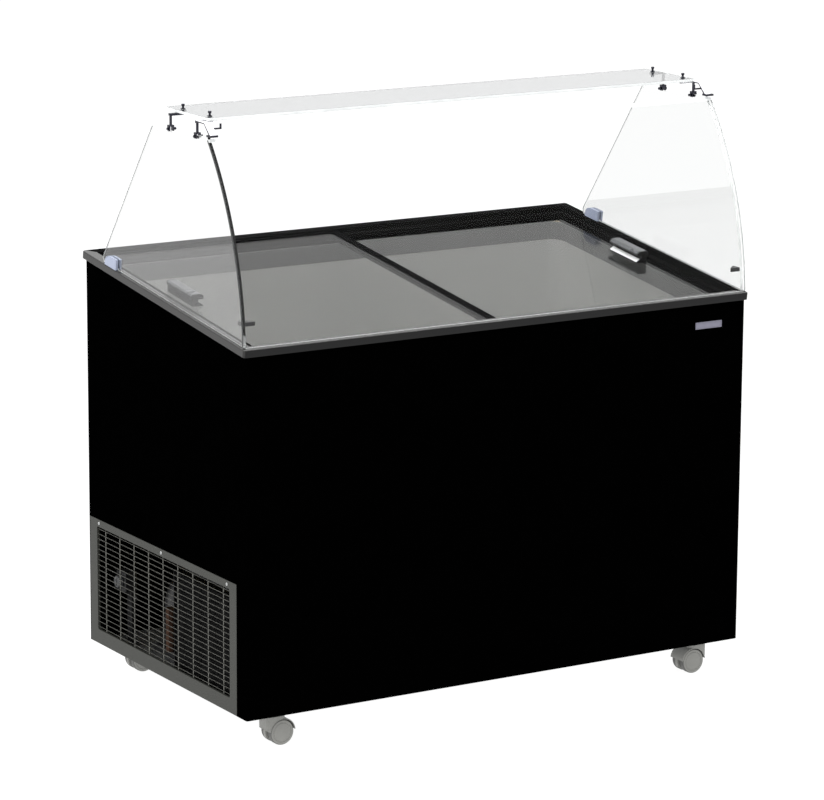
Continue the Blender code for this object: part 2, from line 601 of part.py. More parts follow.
# ---------------------------------------------------------------- machine compartment
GRILLE_DEPTH = 0.006
OPEN_FRONT, OPEN_REAR = -0.275, 0.308
OPEN_FOOT, OPEN_TOP = BASE_Z + 0.031, BASE_Z + 0.257
grille_frame = box("grille_frame", (-HALF_W, SIDE_FRONT, BASE_Z),
                   (-HALF_W + GRILLE_DEPTH, SIDE_REAR, BASE_Z + GRILLE_TOP), GRILLE)
cut(grille_frame, box("grille_opening", (-0.7, OPEN_FRONT, OPEN_FOOT), (-0.5, OPEN_REAR, OPEN_TOP), None))
cut(base_tray, box("grille_foot_notch", (-0.7, SIDE_FRONT - GAP, 0.0),
                   (-HALF_W + GRILLE_DEPTH + GAP, SIDE_REAR + GAP, 0.1), None))


def grille_lattice(slats=15, ties=3, bar=0.003, thickness=0.002):
    """A flat lattice: thin slats between the frame's sides, crossed by upright ties."""
    wide, tall = OPEN_REAR - OPEN_FRONT - 2 * GAP, OPEN_TOP - OPEN_FOOT - 2 * GAP

    def lines(length, count):
        gap = (length - count * bar) / (count - 1)
        places = []
        for index in range(count):
            start = -length / 2 + index * (bar + gap)
            places += [start, start + bar]
        return places

    columns, rows = lines(wide, ties + 2), lines(tall, slats + 2)
    bm = bmesh.new()
    bmesh.ops.create_grid(bm, x_segments=len(columns) - 1, y_segments=len(rows) - 1, size=1.0)
    for vert in bm.verts:
        column = round((vert.co.x + 1) / 2 * (len(columns) - 1))
        row = round((vert.co.y + 1) / 2 * (len(rows) - 1))
        vert.co = (0.0, columns[column], rows[row])
    holes = []
    for face in bm.faces:
        across = max(v.co.y for v in face.verts) - min(v.co.y for v in face.verts)
        up = max(v.co.z for v in face.verts) - min(v.co.z for v in face.verts)
        if across > bar * 1.1 and up > bar * 1.1:
            holes.append(face)
    bmesh.ops.delete(bm, geom=holes, context="FACES")
    centre = (-HALF_W + GRILLE_DEPTH / 2, (OPEN_FRONT + OPEN_REAR) / 2, (OPEN_FOOT + OPEN_TOP) / 2)
    lattice = place("grille_bars", mesh_from(bm, "grille_bars"), GRILLE, centre)
    body = lattice.modifiers.new("thickness", "SOLIDIFY")
    body.thickness = thickness
    body.offset = 0.0
    return lattice


grille_bars = grille_lattice()

MACHINE_FLOOR = BASE_Z + FLOOR_PLATE + GAP
COMPRESSOR_AT = Vector((-0.462, 0.115, 0.0))
compressor = cylinder("compressor", 0.072, 0.160, COMPRESSOR_AT + Vector((0, 0, MACHINE_FLOOR + 0.092)), "Z",
                      COMPRESSOR, sides=28, bevel=0.022, segments=3)
compressor_feet = box("compressor_feet", COMPRESSOR_AT + Vector((-0.060, -0.085, MACHINE_FLOOR)),
                      COMPRESSOR_AT + Vector((0.060, 0.085, MACHINE_FLOOR + 0.015)), COMPRESSOR, bevel=0.006,
                      only_axis=2)
join(compressor, compressor_feet)

FAN_AT = Vector((-0.530, -0.140, 0.190))
condenser = box("condenser", (-0.590, -0.262, MACHINE_FLOOR), (-0.556, -0.018, 0.305), ALUMINIUM)
fins = bmesh.new()
for index in range(11):
    slot = bmesh.ops.create_cube(fins, size=1.0)["verts"]
    bmesh.ops.scale(fins, vec=(0.026, 0.015, 0.198), verts=slot)
    bmesh.ops.translate(fins, vec=(-0.590, -0.245 + index * 0.021, 0.189), verts=slot)
cut(condenser, place("fin_slots", mesh_from(fins, "fin_slots"), None, collection=cutters))

fan_shroud = box("fan_shroud", (-0.5557, -0.262, MACHINE_FLOOR), (-0.553, -0.018, 0.305), GALVANISED)
cut(fan_shroud, cylinder("shroud_hole", 0.092, 0.05, (-0.554, FAN_AT.y, FAN_AT.z), "X", None, sides=28))
fan_motor = cylinder("fan_motor", 0.030, 0.045, FAN_AT + Vector((0.0405, 0, 0)), "X", COMPRESSOR, sides=20,
                     bevel=0.004, segments=1)
join(fan_motor, box("motor_bracket", FAN_AT + Vector((0.030, -0.012, MACHINE_FLOOR - FAN_AT.z)),
                    FAN_AT + Vector((0.052, 0.012, -0.015)), COMPRESSOR))


def fan_rotor():
    """A hub and five pitched blades on the fan's axis."""
    hub = cylinder("fan_blade", 0.020, 0.016, FAN_AT, "X", ALUMINIUM, sides=20)
    blades = bmesh.new()
    for index in range(5):
        blade = bmesh.ops.create_cube(blades, size=1.0)["verts"]
        bmesh.ops.scale(blades, vec=(0.0016, 0.036, 0.070), verts=blade)
        bmesh.ops.transform(blades, matrix=Matrix.Rotation(math.radians(-28), 4, "Z"), verts=blade)
        bmesh.ops.translate(blades, vec=(0, 0, 0.0505), verts=blade)
        bmesh.ops.transform(blades, matrix=Matrix.Rotation(index * math.tau / 5, 4, "X"), verts=blade)
    return join(hub, place("fan_blades", mesh_from(blades, "fan_blades"), ALUMINIUM, FAN_AT))


fan_blade = fan_rotor()

THERMOSTAT_AT = Vector((-0.560, 0.255, 0.215))
thermostat = box("thermostat", THERMOSTAT_AT + Vector((-0.012, -0.020, -0.022)),
                 THERMOSTAT_AT + Vector((0.016, 0.020, 0.022)), BLACK_PLASTIC, bevel=0.002, segments=1)
post_foot = THERMOSTAT_AT + Vector((0.008, -0.010, MACHINE_FLOOR - THERMOSTAT_AT.z))
join(thermostat, box("thermostat_post", post_foot, THERMOSTAT_AT + Vector((0.012, 0.010, -0.015)),
                     BLACK_PLASTIC))
thermostat_knob = cylinder("thermostat_knob", 0.013, 0.010, THERMOSTAT_AT + Vector((-0.0173, 0, 0)), "X",
                           HANDLE_PLASTIC, sides=20, bevel=0.001, segments=1)
cut(thermostat_knob, box("knob_slot", THERMOSTAT_AT + Vector((-0.030, -0.0012, -0.009)),
                         THERMOSTAT_AT + Vector((-0.0200, 0.0012, 0.009)), None))

discharge_route = rounded_route([(-0.462, 0.115, MACHINE_FLOOR + 0.1725), (-0.462, 0.115, 0.285),
                                 (-0.520, 0.060, 0.285), (-0.573, 0.010, 0.285), (-0.573, -0.0175, 0.285)],
                                0.014, steps=3)
discharge_pipe = tube("discharge_pipe", discharge_route, 0.0035, COPPER)
filter_drier = tube("filter_drier", [(-0.573, 0.030, 0.118), (-0.573, 0.030, 0.124), (-0.573, 0.030, 0.205),
                                     (-0.573, 0.030, 0.211)], 0.010, COPPER)

# ---------------------------------------------------------------- badge
badge_plate = box("badge_plate", (0.473, -HALF_D - GAP - 0.0025, BASE_Z + 0.6885),
                  (0.540, -HALF_D - GAP, BASE_Z + 0.7035), BADGE, bevel=0.0008, segments=1)


# ---------------------------------------------------------------- castors
def castor(word, x, y, trail_side):
    """A plate with a pin, a swivelling hood and a wheel set that turns on the hood's axle line."""
    plate_top = BASE_Z - GAP
    half = 0.025
    mount = box("castor_plate_" + word, (x - half, y - half, plate_top - 0.0025),
                (x + half, y + half, plate_top), STEEL, bevel=0.004, segments=2, only_axis=2)
    boss = cylinder("castor_boss_" + word, 0.012, 0.006, (x, y, plate_top - 0.005), "Z", STEEL, sides=20)
    join(mount, boss, cylinder("castor_pin_" + word, 0.005, 0.020, (x, y, plate_top - 0.0165), "Z", STEEL,
                               sides=12))

    axle = Vector((x + trail_side * TRAIL, y, WHEEL_RADIUS))
    outer, pocket, web = 0.0300, 0.0278, 0.0042
    neck_top = plate_top - 0.008 - GAP

    hood = cylinder("castor_hood_" + word, outer, 0.046, axle, "Y", CASTOR_GREY, sides=32)
    low, high = sorted((x - trail_side * 0.0135, axle.x + trail_side * 0.0085))
    join(hood, box("castor_neck_" + word, (low, y - 0.0225, 0.036), (high, y + 0.0225, neck_top), CASTOR_GREY,
                   bevel=0.010, segments=5, only_axis=2))
    for index, side in enumerate((-1, 1)):
        low, high = sorted((side * web, side * 0.04))
        middle = axle + Vector((0, (low + high) / 2, 0))
        cut(hood, cylinder(f"wheel_pocket_{word}_{index}", pocket, high - low, middle, "Y", None, sides=32))
        cut(hood, box(f"hood_skirt_{word}_{index}", axle + Vector((-0.05, low, -0.05)),
                      axle + Vector((0.05, high, 0.004)), None))
    web_foot = box("web_foot_" + word, axle + Vector((-0.05, -0.05, -0.05)),
                   axle + Vector((0.05, 0.05, -0.013)), None)
    cut(hood, web_foot, cylinder("axle_hole_" + word, 0.0042, 0.03, axle, "Y", None, sides=12))
    cut(hood, cylinder("pin_bore_" + word, 0.0054, 0.0205, (x, y, neck_top - 0.0085), "Z", None, sides=12))
    hood.data.transform(Matrix.Translation(axle - Vector((x, y, neck_top))))
    hood.location = (x, y, neck_top)

    wheel_middle = Vector((0, (WHEEL_IN + WHEEL_OUT) / 2, 0))
    wheel_width = WHEEL_OUT - WHEEL_IN
    wheels = cylinder("castor_wheels_" + word, WHEEL_RADIUS, wheel_width, axle, "Y", TREAD, sides=32,
                      bevel=0.0025)
    wheels.data.transform(Matrix.Translation(wheel_middle))
    join(wheels, cylinder("second_wheel_" + word, WHEEL_RADIUS, wheel_width, axle - wheel_middle, "Y", TREAD,
                          sides=32, bevel=0.0025),
         cylinder("axle_" + word, 0.0038, 2 * WHEEL_OUT - 0.002, axle, "Y", STEEL, sides=12))


for word, x_side, y_side in (("front_left", -1, -1), ("front_right", 1, -1), ("rear_left", -1, 1),
                             ("rear_right", 1, 1)):
    castor(word, x_side * CASTOR_X, y_side * CASTOR_Y, -x_side)
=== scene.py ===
"""Looks of the sloped-top display chest freezer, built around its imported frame.  Metres, +Z up."""

import math

import bmesh
import bpy
from mathutils import Matrix, Vector


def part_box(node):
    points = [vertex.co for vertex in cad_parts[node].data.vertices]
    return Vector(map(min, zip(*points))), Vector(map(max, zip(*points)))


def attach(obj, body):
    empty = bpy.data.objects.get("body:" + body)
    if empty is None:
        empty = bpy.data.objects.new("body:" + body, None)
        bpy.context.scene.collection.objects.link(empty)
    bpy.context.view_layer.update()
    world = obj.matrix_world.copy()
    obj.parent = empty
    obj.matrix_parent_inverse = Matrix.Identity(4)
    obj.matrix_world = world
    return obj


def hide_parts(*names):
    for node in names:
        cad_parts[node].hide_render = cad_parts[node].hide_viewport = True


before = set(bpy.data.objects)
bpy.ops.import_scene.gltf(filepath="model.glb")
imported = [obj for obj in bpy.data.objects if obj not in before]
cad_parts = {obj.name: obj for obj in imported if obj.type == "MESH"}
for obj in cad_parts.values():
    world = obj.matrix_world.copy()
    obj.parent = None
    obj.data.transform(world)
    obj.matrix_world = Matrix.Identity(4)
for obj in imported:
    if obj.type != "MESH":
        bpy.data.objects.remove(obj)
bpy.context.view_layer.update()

# ---------------------------------------------------------------- dimensions read from the frame
GAP = 0.0003
cabinet_low, cabinet_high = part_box("front_panel")
rim_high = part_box("top_rim")[1]
BASE_Z = cabinet_low.z
HALF_W, HALF_D = cabinet_high.x, -cabinet_low.y
SLOPE = math.atan2(0.086, 2 * HALF_D)              # the top rises 86 mm over the cabinet's depth
RIM_X = rim_high.x
RIM_V = (HALF_D + RIM_X - HALF_W) / math.cos(SLOPE)
TOP_Z = rim_high.z - RIM_V * math.sin(SLOPE)
RIM_HEIGHT, RIM_DROP = 0.016, 0.0245
LIP, TRACK = 0.024, 0.015
UPPER_TRACK_DROP, LOWER_TRACK_DROP = 0.011, 0.0215
SHEET = 0.0012
ABOVE_TOP = 1.1                                    # sheets start this tall and are cut off along the slope
FRONT_WRAP, REAR_WRAP = 0.041, 0.004
GLASS = 0.006
GRILLE_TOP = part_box("grille_frame")[1].z

on_slope = Matrix.Translation((0, 0, TOP_Z)) @ Matrix.Rotation(SLOPE, 4, "X")


def top_z(y):
    """Height of the rim's top plane at a depth y."""
    return TOP_Z + y * math.tan(SLOPE)


# ---------------------------------------------------------------- materials
def surface(name, colour, roughness, metallic=0.0, mottle=0.06, mottle_size=0.05, grain=0.0, grain_size=0.001,
            rough_spread=0.05, stretch=(1, 1, 1), **sockets):
    """A Principled surface whose colour, roughness and fine relief vary with position on the piece."""
    made = bpy.data.materials.new(name)
    made.use_nodes = True
    nodes, links = made.node_tree.nodes, made.node_tree.links
    shader = nodes["Principled BSDF"]
    shader.inputs["Metallic"].default_value = metallic
    for socket, value in sockets.items():
        shader.inputs[socket.replace("_", " ")].default_value = value
    place = nodes.new("ShaderNodeTexCoord")
    scale = nodes.new("ShaderNodeMapping")
    scale.inputs["Scale"].default_value = stretch
    links.new(place.outputs["Object"], scale.inputs["Vector"])

    cloud = nodes.new("ShaderNodeTexNoise")
    cloud.inputs["Scale"].default_value = 1 / mottle_size
    cloud.inputs["Detail"].default_value = 5.0
    links.new(scale.outputs["Vector"], cloud.inputs["Vector"])
    tones = nodes.new("ShaderNodeValToRGB")
    tones.color_ramp.elements[0].position = 0.3
    tones.color_ramp.elements[1].position = 0.7
    tones.color_ramp.elements[0].color = (*(c * (1 - mottle) for c in colour), 1)
    tones.color_ramp.elements[1].color = (*(min(1.0, c * (1 + mottle)) for c in colour), 1)
    links.new(cloud.outputs["Fac"], tones.inputs["Fac"])
    links.new(tones.outputs["Color"], shader.inputs["Base Color"])

    rough = nodes.new("ShaderNodeMapRange")
    rough.inputs["To Min"].default_value = max(0.0, roughness - rough_spread)
    rough.inputs["To Max"].default_value = min(1.0, roughness + rough_spread)
    links.new(cloud.outputs["Fac"], rough.inputs["Value"])
    links.new(rough.outputs["Result"], shader.inputs["Roughness"])

    if grain:
        fine = nodes.new("ShaderNodeTexNoise")
        fine.inputs["Scale"].default_value = 1 / grain_size
        fine.inputs["Detail"].default_value = 2.0
        links.new(scale.outputs["Vector"], fine.inputs["Vector"])
        bump = nodes.new("ShaderNodeBump")
        bump.inputs["Strength"].default_value = 0.6
        bump.inputs["Distance"].default_value = grain
        links.new(fine.outputs["Fac"], bump.inputs["Height"])
        links.new(bump.outputs["Normal"], shader.inputs["Normal"])
    return made


def glass(name, tint, ior=1.5, roughness=0.0):
    made = bpy.data.materials.new(name)
    made.use_nodes = True
    shader = made.node_tree.nodes["Principled BSDF"]
    shader.inputs["Base Color"].default_value = (*tint, 1)
    shader.inputs["Roughness"].default_value = roughness
    shader.inputs["IOR"].default_value = ior
    shader.inputs["Transmission Weight"].default_value = 1.0
    return made


BLACK_STEEL = surface("black_coated_steel", (0.0003, 0.0003, 0.0003), 0.6, mottle=0.15, grain=0.00008,
                      grain_size=0.0022, Specular_IOR_Level=0.0)
RIM_PLASTIC = surface("rim_extrusion", (0.004, 0.004, 0.0042), 0.25, mottle=0.1, grain=0.00003,
                      grain_size=0.003, stretch=(0.3, 1, 1), Specular_IOR_Level=0.22)
# Lighter copies of the same rim plastic: painted light for the left outer face, a painted highlight for the
# upward faces of the front and left lips.
RIM_LEFT_PAINTED_LIGHT = surface("rim_left_face_painted_light", (0.016, 0.0155, 0.015), 0.25, mottle=0.1, grain=0.00003,
                  grain_size=0.003, stretch=(1, 0.3, 1), Specular_IOR_Level=0.35)
RIM_LIP_PAINTED_HIGHLIGHT = surface("rim_lip_painted_highlight", (0.03, 0.03, 0.029), 0.2, mottle=0.15, grain=0.00003,
                  grain_size=0.003, stretch=(0.3, 1, 1), Specular_IOR_Level=0.6)
# A copy of the rim plastic with no reflection, for the upward faces and the tracks: painted shade.
RIM_TOP_PAINTED_SHADE = surface("rim_top_and_tracks_painted_shade", (0.005, 0.005, 0.005), 0.35, mottle=0.1, grain=0.00003,
                  grain_size=0.003, stretch=(0.3, 1, 1), Specular_IOR_Level=0.0)
LID_PLASTIC = surface("lid_extrusion", (0.004, 0.004, 0.0042), 0.3, mottle=0.1, grain=0.00003,
                      grain_size=0.002, Specular_IOR_Level=0.0)
BLACK_PLASTIC = surface("black_moulding", (0.008, 0.008, 0.009), 0.4, mottle=0.1, grain=0.00004,
                        grain_size=0.0012)
# Grey used as a painted sheen on the upward faces of the black handle bars, and as the thermostat knob's own
# grey.
HANDLE_SHEEN_AND_KNOB_GREY = surface("handle_painted_sheen_and_knob_grey", (0.085, 0.088, 0.093), 0.28, mottle=0.05, grain=0.00003,
                         grain_size=0.0015)
# White painted highlight for the ramp under the handle bar.
RAMP_PAINTED_HIGHLIGHT = surface("handle_ramp_painted_highlight", (0.92, 0.92, 0.92), 0.3, mottle=0.01, grain=0.00002, grain_size=0.001)
LINER = surface("liner_coating", (0.82, 0.83, 0.825), 0.35, mottle=0.02, grain=0.0001, grain_size=0.01)
COLLAR = surface("collar_moulding", (0.20, 0.205, 0.21), 0.45, mottle=0.04, grain=0.00005, grain_size=0.0015)
CANOPY_GLASS = glass("front_canopy_glass", (0.965, 0.968, 0.967), ior=1.12)
SIDE_GLASS = glass("side_canopy_glass", (0.90, 0.905, 0.903), ior=1.45)
SHELF_GLASS = glass("shelf_glass", (0.64, 0.65, 0.655), ior=1.35)
LID_GLASS = glass("lid_pane", (0.52, 0.515, 0.505), ior=1.12)
# Opaque colours for glass edge faces: a painted dark reflection and painted pale light, in place of what the
# clear edges show.
EDGE_PAINTED_DARK_REFLECTION = surface("glass_edge_painted_dark_reflection", (0.012, 0.014, 0.014), 0.25, mottle=0.2, mottle_size=0.02)
EDGE_PAINTED_LIGHT = surface("glass_edge_painted_light", (0.80, 0.82, 0.815), 0.2, mottle=0.1, mottle_size=0.02)
SHELF_EDGE = surface("shelf_edge", (0.72, 0.74, 0.74), 0.2, mottle=0.1, mottle_size=0.05)
BRACKET = surface("bracket_polished", (0.035, 0.035, 0.045), 0.2, metallic=1.0, mottle=0.1, grain=0.00002,
                  grain_size=0.0008)
# Pale colour for the front brackets' polished straps: a painted reflection of the bright surroundings.
STRAP_PAINTED_REFLECTION = surface("bracket_strap_painted_reflection", (0.62, 0.62, 0.65), 0.3, mottle=0.05, grain=0.00002, grain_size=0.0008)
STRAP_FACE_AREA = 0.00008                          # only the strap's broad faces are this large
HOLDER = surface("holder_moulding", (0.31, 0.345, 0.45), 0.35, mottle=0.05, grain=0.00003, grain_size=0.001)
BRUSH = surface("brush_pile", (0.012, 0.012, 0.012), 0.95, mottle=0.3, mottle_size=0.002, grain=0.0006,
                grain_size=0.0006, stretch=(1, 1, 0.2))
GRILLE = surface("grille_coating", (0.044, 0.045, 0.040), 0.45, metallic=0.1, mottle=0.08, grain=0.00004,
                 grain_size=0.001, Specular_IOR_Level=0.15)
GRILLE_WIRE = surface("grille_louvre", (0.16, 0.16, 0.145), 0.35, metallic=0.4, mottle=0.15, mottle_size=0.01)
GALVANISED = surface("galvanised_sheet", (0.42, 0.43, 0.44), 0.42, metallic=0.9, mottle=0.18,
                     mottle_size=0.012)
COPPER = surface("copper_tube", (0.78, 0.40, 0.25), 0.28, metallic=1.0, mottle=0.15, mottle_size=0.01)
COMPRESSOR = surface("compressor_paint", (0.015, 0.015, 0.016), 0.32, mottle=0.1, grain=0.0001,
                     grain_size=0.002)
# Condenser fins, filter drier and discharge pipe are darkened almost to black: painted shade of the machine
# compartment behind the grille.
FINS_PAINTED_SHADE = surface("condenser_sheet_painted_shade", (0.035, 0.035, 0.036), 0.45, metallic=1.0, mottle=0.1,
                    mottle_size=0.01)
COPPER_PAINTED_SHADE = surface("copper_pipework_painted_shade", (0.07, 0.04, 0.028), 0.4, metallic=1.0, mottle=0.2, mottle_size=0.01)
ALUMINIUM = surface("aluminium_sheet", (0.72, 0.73, 0.74), 0.32, metallic=1.0, mottle=0.06, mottle_size=0.01)
CASTOR_GREY = surface("castor_moulding", (0.23, 0.23, 0.215), 0.42, mottle=0.08, grain=0.00006,
                      grain_size=0.0012)
TREAD = surface("castor_tread", (0.11, 0.11, 0.105), 0.6, mottle=0.2, grain=0.0001, grain_size=0.001)
STEEL = surface("zinc_plating", (0.55, 0.56, 0.56), 0.28, metallic=1.0, mottle=0.1, mottle_size=0.006)
BADGE = surface("badge_metal", (0.18, 0.175, 0.225), 0.35, metallic=0.4, mottle=0.04, stretch=(0.05, 1, 1),
                grain=0.00002, grain_size=0.0004)
BADGE_FACE = surface("badge_face", (0.19, 0.185, 0.24), 0.3, metallic=0.2, mottle=0.05, mottle_size=0.01)
FOAM = surface("foam", (0.78, 0.68, 0.42), 0.9, mottle=0.1, grain=0.0006, grain_size=0.002)

CAD_FINISHES = {
    "base_tray": GALVANISED, "insulation": FOAM, "evaporator_coil": COPPER, "thermostat": BLACK_PLASTIC,
    "thermostat_knob": HANDLE_SHEEN_AND_KNOB_GREY, "fan_shroud": GALVANISED, "fan_motor": COMPRESSOR,
    "left_lid_brush": BRUSH, "filter_drier": COPPER_PAINTED_SHADE, "discharge_pipe": COPPER_PAINTED_SHADE,
}
for corner in ("front_left", "front_right", "rear_left", "rear_right"):
    CAD_FINISHES["castor_plate_" + corner] = STEEL
for side in ("left", "right"):
    CAD_FINISHES["front_shelf_knob_" + side] = BRACKET
    CAD_FINISHES["rear_shelf_knob_" + side] = BRACKET
    CAD_FINISHES["front_bracket_" + side] = BRACKET
    CAD_FINISHES["rear_bracket_" + side] = BRACKET
for node, finish in CAD_FINISHES.items():
    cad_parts[node].data.materials.clear()
    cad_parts[node].data.materials.append(finish)
# The broad faces of each front bracket's strap get the pale painted reflection over the dark polished metal.
for side in ("left", "right"):
    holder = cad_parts["front_bracket_" + side]
    holder.data.materials.append(STRAP_PAINTED_REFLECTION)
    for polygon in holder.data.polygons:
        if polygon.area > STRAP_FACE_AREA and abs(polygon.normal.x) < 0.3:
            polygon.material_index = 1


# ---------------------------------------------------------------- modelling helpers
def smooth(mesh, angle=32):
    mesh.shade_smooth()
    mesh.set_sharp_from_angle(angle=math.radians(angle))
    return mesh


def object_from(bm, name, matrix=None, angle=32):
    if matrix:
        bmesh.ops.transform(bm, matrix=matrix, verts=bm.verts)
    bmesh.ops.recalc_face_normals(bm, faces=bm.faces)
    mesh = bpy.data.meshes.new(name)
    bm.to_mesh(mesh)
    bm.free()
    made = bpy.data.objects.new(name, smooth(mesh, angle))
    bpy.context.scene.collection.objects.link(made)
    return made


def sharp_edges(bm, angle=28):
    limit = math.radians(angle)
    return [e for e in bm.edges if len(e.link_faces) == 2 and e.calc_face_angle(0.0) > limit]


def rounded(bm, radius, segments=3, angle=28):
    if radius:
        bmesh.ops.bevel(bm, geom=sharp_edges(bm, angle), offset=radius, segments=segments, profile=0.5,
                        affect="EDGES", clamp_overlap=True)


def block(name, low, high, radius=0.0, segments=3, matrix=None):
    low, high = Vector(low), Vector(high)
    bm = bmesh.new()
    bmesh.ops.create_cube(bm, size=1.0)
    bmesh.ops.scale(bm, vec=high - low, verts=bm.verts)
    bmesh.ops.translate(bm, vec=(low + high) / 2, verts=bm.verts)
    rounded(bm, radius, segments)
    return object_from(bm, name, matrix)


def prism(name, outline, low, high, plane="YZ", radius=0.0, segments=3, matrix=None, angle=28):
    """An outline of (a, b) points pushed from low to high: YZ along X, XZ along Y, XY along Z."""
    spots = {"YZ": lambda a, b: (low, a, b), "XZ": lambda a, b: (a, low, b), "XY": lambda a, b: (a, b, low)}
    travel = {"YZ": (high - low, 0, 0), "XZ": (0, high - low, 0), "XY": (0, 0, high - low)}[plane]
    bm = bmesh.new()
    corners = [bm.verts.new(spots[plane](a, b)) for a, b in outline]
    loop = [bm.edges.new(pair) for pair in zip(corners, corners[1:] + corners[:1])]
    face = bmesh.ops.edgeloop_fill(bm, edges=loop)["faces"]
    pushed = bmesh.ops.extrude_face_region(bm, geom=face)["geom"]
    bmesh.ops.translate(bm, vec=travel, verts=[v for v in pushed if isinstance(v, bmesh.types.BMVert)])
    bmesh.ops.recalc_face_normals(bm, faces=bm.faces)
    rounded(bm, radius, segments, angle)
    return object_from(bm, name, matrix)


def turned(name, profile, centre, axis="Z", steps=64, matrix=None):
    """A closed turned solid; profile is (radius, height) from its foot on the axis to its top on the axis."""
    bm = bmesh.new()
    rings = []
    for radius, height in profile:
        if radius < 1e-7:
            rings.append([bm.verts.new((0, 0, height))])
            continue
        spots = [(radius * math.cos(k * math.tau / steps), radius * math.sin(k * math.tau / steps), height)
                 for k in range(steps)]
        rings.append([bm.verts.new(spot) for spot in spots])
    for lower, upper in zip(rings, rings[1:]):
        for k in range(steps):
            quad = [lower[k % len(lower)], lower[(k + 1) % len(lower)],
                    upper[(k + 1) % len(upper)], upper[k % len(upper)]]
            bm.faces.new(list(dict.fromkeys(quad)))
    turn = {"X": Matrix.Rotation(math.pi / 2, 4, "Y"), "Y": Matrix.Rotation(-math.pi / 2, 4, "X")}
    placed = Matrix.Translation(centre) @ turn.get(axis, Matrix())
    return object_from(bm, name, (matrix or Matrix()) @ placed)


def rod(name, radius, low, high, centre, axis="Z", bevel=0.0, steps=32, matrix=None):
    """A round bar from low to high along its axis, with turned edges."""
    profile = [(0, low)]
    for k in range(4):
        turn = k / 3 * math.pi / 2
        profile.append((radius - bevel * (1 - math.sin(turn)), low + bevel * (1 - math.cos(turn))))
    for k in range(4):
        turn = k / 3 * math.pi / 2
        profile.append((radius - bevel * (1 - math.cos(turn)), high - bevel * (1 - math.sin(turn))))
    profile.append((0, high))
    if not bevel:
        profile = [(0, low), (radius, low), (radius, high), (0, high)]
    return turned(name, profile, centre, axis, steps, matrix)


def applied(piece, angle=32):
    """Replaces a piece's mesh by what its modifiers make of it."""
    evaluated = piece.evaluated_get(bpy.context.evaluated_depsgraph_get())
    mesh = bpy.data.meshes.new_from_object(evaluated)
    piece.modifiers.clear()
    piece.data = smooth(mesh, angle)
    return piece


def boolean(piece, operation, *tools, angle=32):
    for tool in tools:
        modifier = piece.modifiers.new(tool.name, "BOOLEAN")
        modifier.operation, modifier.solver, modifier.object = operation, "EXACT", tool
    applied(piece, angle)
    for tool in tools:
        bpy.data.objects.remove(tool)
    return piece


def joined(name, pieces):
    """Several closed pieces as one object."""
    bm = bmesh.new()
    for piece in pieces:
        bm.from_mesh(piece.data)
        bpy.data.objects.remove(piece)
    return object_from(bm, name)


def dress(piece, body, material, slot, *nodes):
    """Gives a piece its material if it has none, puts it on its body and hides the CAD nodes it stands for;
    the slot is not used.
    """
    if not piece.data.materials:
        piece.data.materials.append(material)
    shading = piece.modifiers.new("shading", "WEIGHTED_NORMAL")
    shading.keep_sharp = True
    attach(piece, body)
    if nodes:
        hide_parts(*nodes)
    return piece


def paint_faces(piece, base, other, chosen):
    """Two materials on one piece: other goes on the faces that chosen(polygon) picks."""
    piece.data.materials.clear()
    piece.data.materials.append(base)
    piece.data.materials.append(other)
    for polygon in piece.data.polygons:
        polygon.material_index = 1 if chosen(polygon) else 0
    return piece


def arc(centre, radius, start, stop, steps):
    """Points on a circle between two angles in degrees."""
    points = []
    for k in range(steps + 1):
        angle = math.radians(start + (stop - start) * k / steps)
        points.append((centre[0] + radius * math.cos(angle), centre[1] + radius * math.sin(angle)))
    return points


def filleted(corners, radii, steps=4):
    """A closed outline whose corners are rounded, each by its own radius."""
    outline = []
    count = len(corners)
    for k in range(count):
        before, corner, after = (Vector(corners[(k + s) % count]) for s in (-1, 0, 1))
        radius = radii[k] if isinstance(radii, (list, tuple)) else radii
        if radius <= 0:
            outline.append(tuple(corner))
            continue
        start = corner + (before - corner).normalized() * radius
        end = corner + (after - corner).normalized() * radius
        for step in range(steps + 1):
            t = step / steps
            outline.append(tuple(start * (1 - t) ** 2 + corner * (2 * t * (1 - t)) + end * t ** 2))
    return outline


# ---------------------------------------------------------------- cabinet sheets
def trimmed_sheet(name, plan, foot, drop, corner_radius=0.0, centre=(0, 0)):
    """A bent sheet standing on a plan line, cut off along the slope, with a real thickness."""
    bm = bmesh.new()
    verts = [bm.verts.new((x, y, foot)) for x, y in plan]
    edges = [bm.edges.new(pair) for pair in zip(verts, verts[1:])]
    raised = bmesh.ops.extrude_edge_only(bm, edges=edges)["geom"]
    bmesh.ops.translate(bm, vec=(0, 0, ABOVE_TOP - foot),
                        verts=[v for v in raised if isinstance(v, bmesh.types.BMVert)])
    if corner_radius:
        folds = [e for e in bm.edges if len(e.link_faces) == 2]
        bmesh.ops.bevel(bm, geom=folds, offset=corner_radius, segments=8, profile=0.5, affect="EDGES")
    normal = Vector((0, -math.sin(SLOPE), math.cos(SLOPE)))
    bmesh.ops.bisect_plane(bm, geom=bm.verts[:] + bm.edges[:] + bm.faces[:], plane_no=normal,
                           clear_outer=True, plane_co=Vector((0, 0, TOP_Z)) - normal * drop)
    made = object_from(bm, name)
    for polygon in made.data.polygons:
        away = Vector((polygon.center.x / 30 - centre[0], polygon.center.y - centre[1], 0))
        if polygon.normal.dot(away) < 0:
            made.data.flip_normals()
            break
    sheet = made.modifiers.new("sheet", "SOLIDIFY")
    sheet.thickness, sheet.offset = SHEET, -1.0
    edge = made.modifiers.new("edge", "BEVEL")
    edge.width, edge.segments, edge.limit_method, edge.angle_limit = 0.0003, 2, "ANGLE", math.radians(60)
    return applied(made)


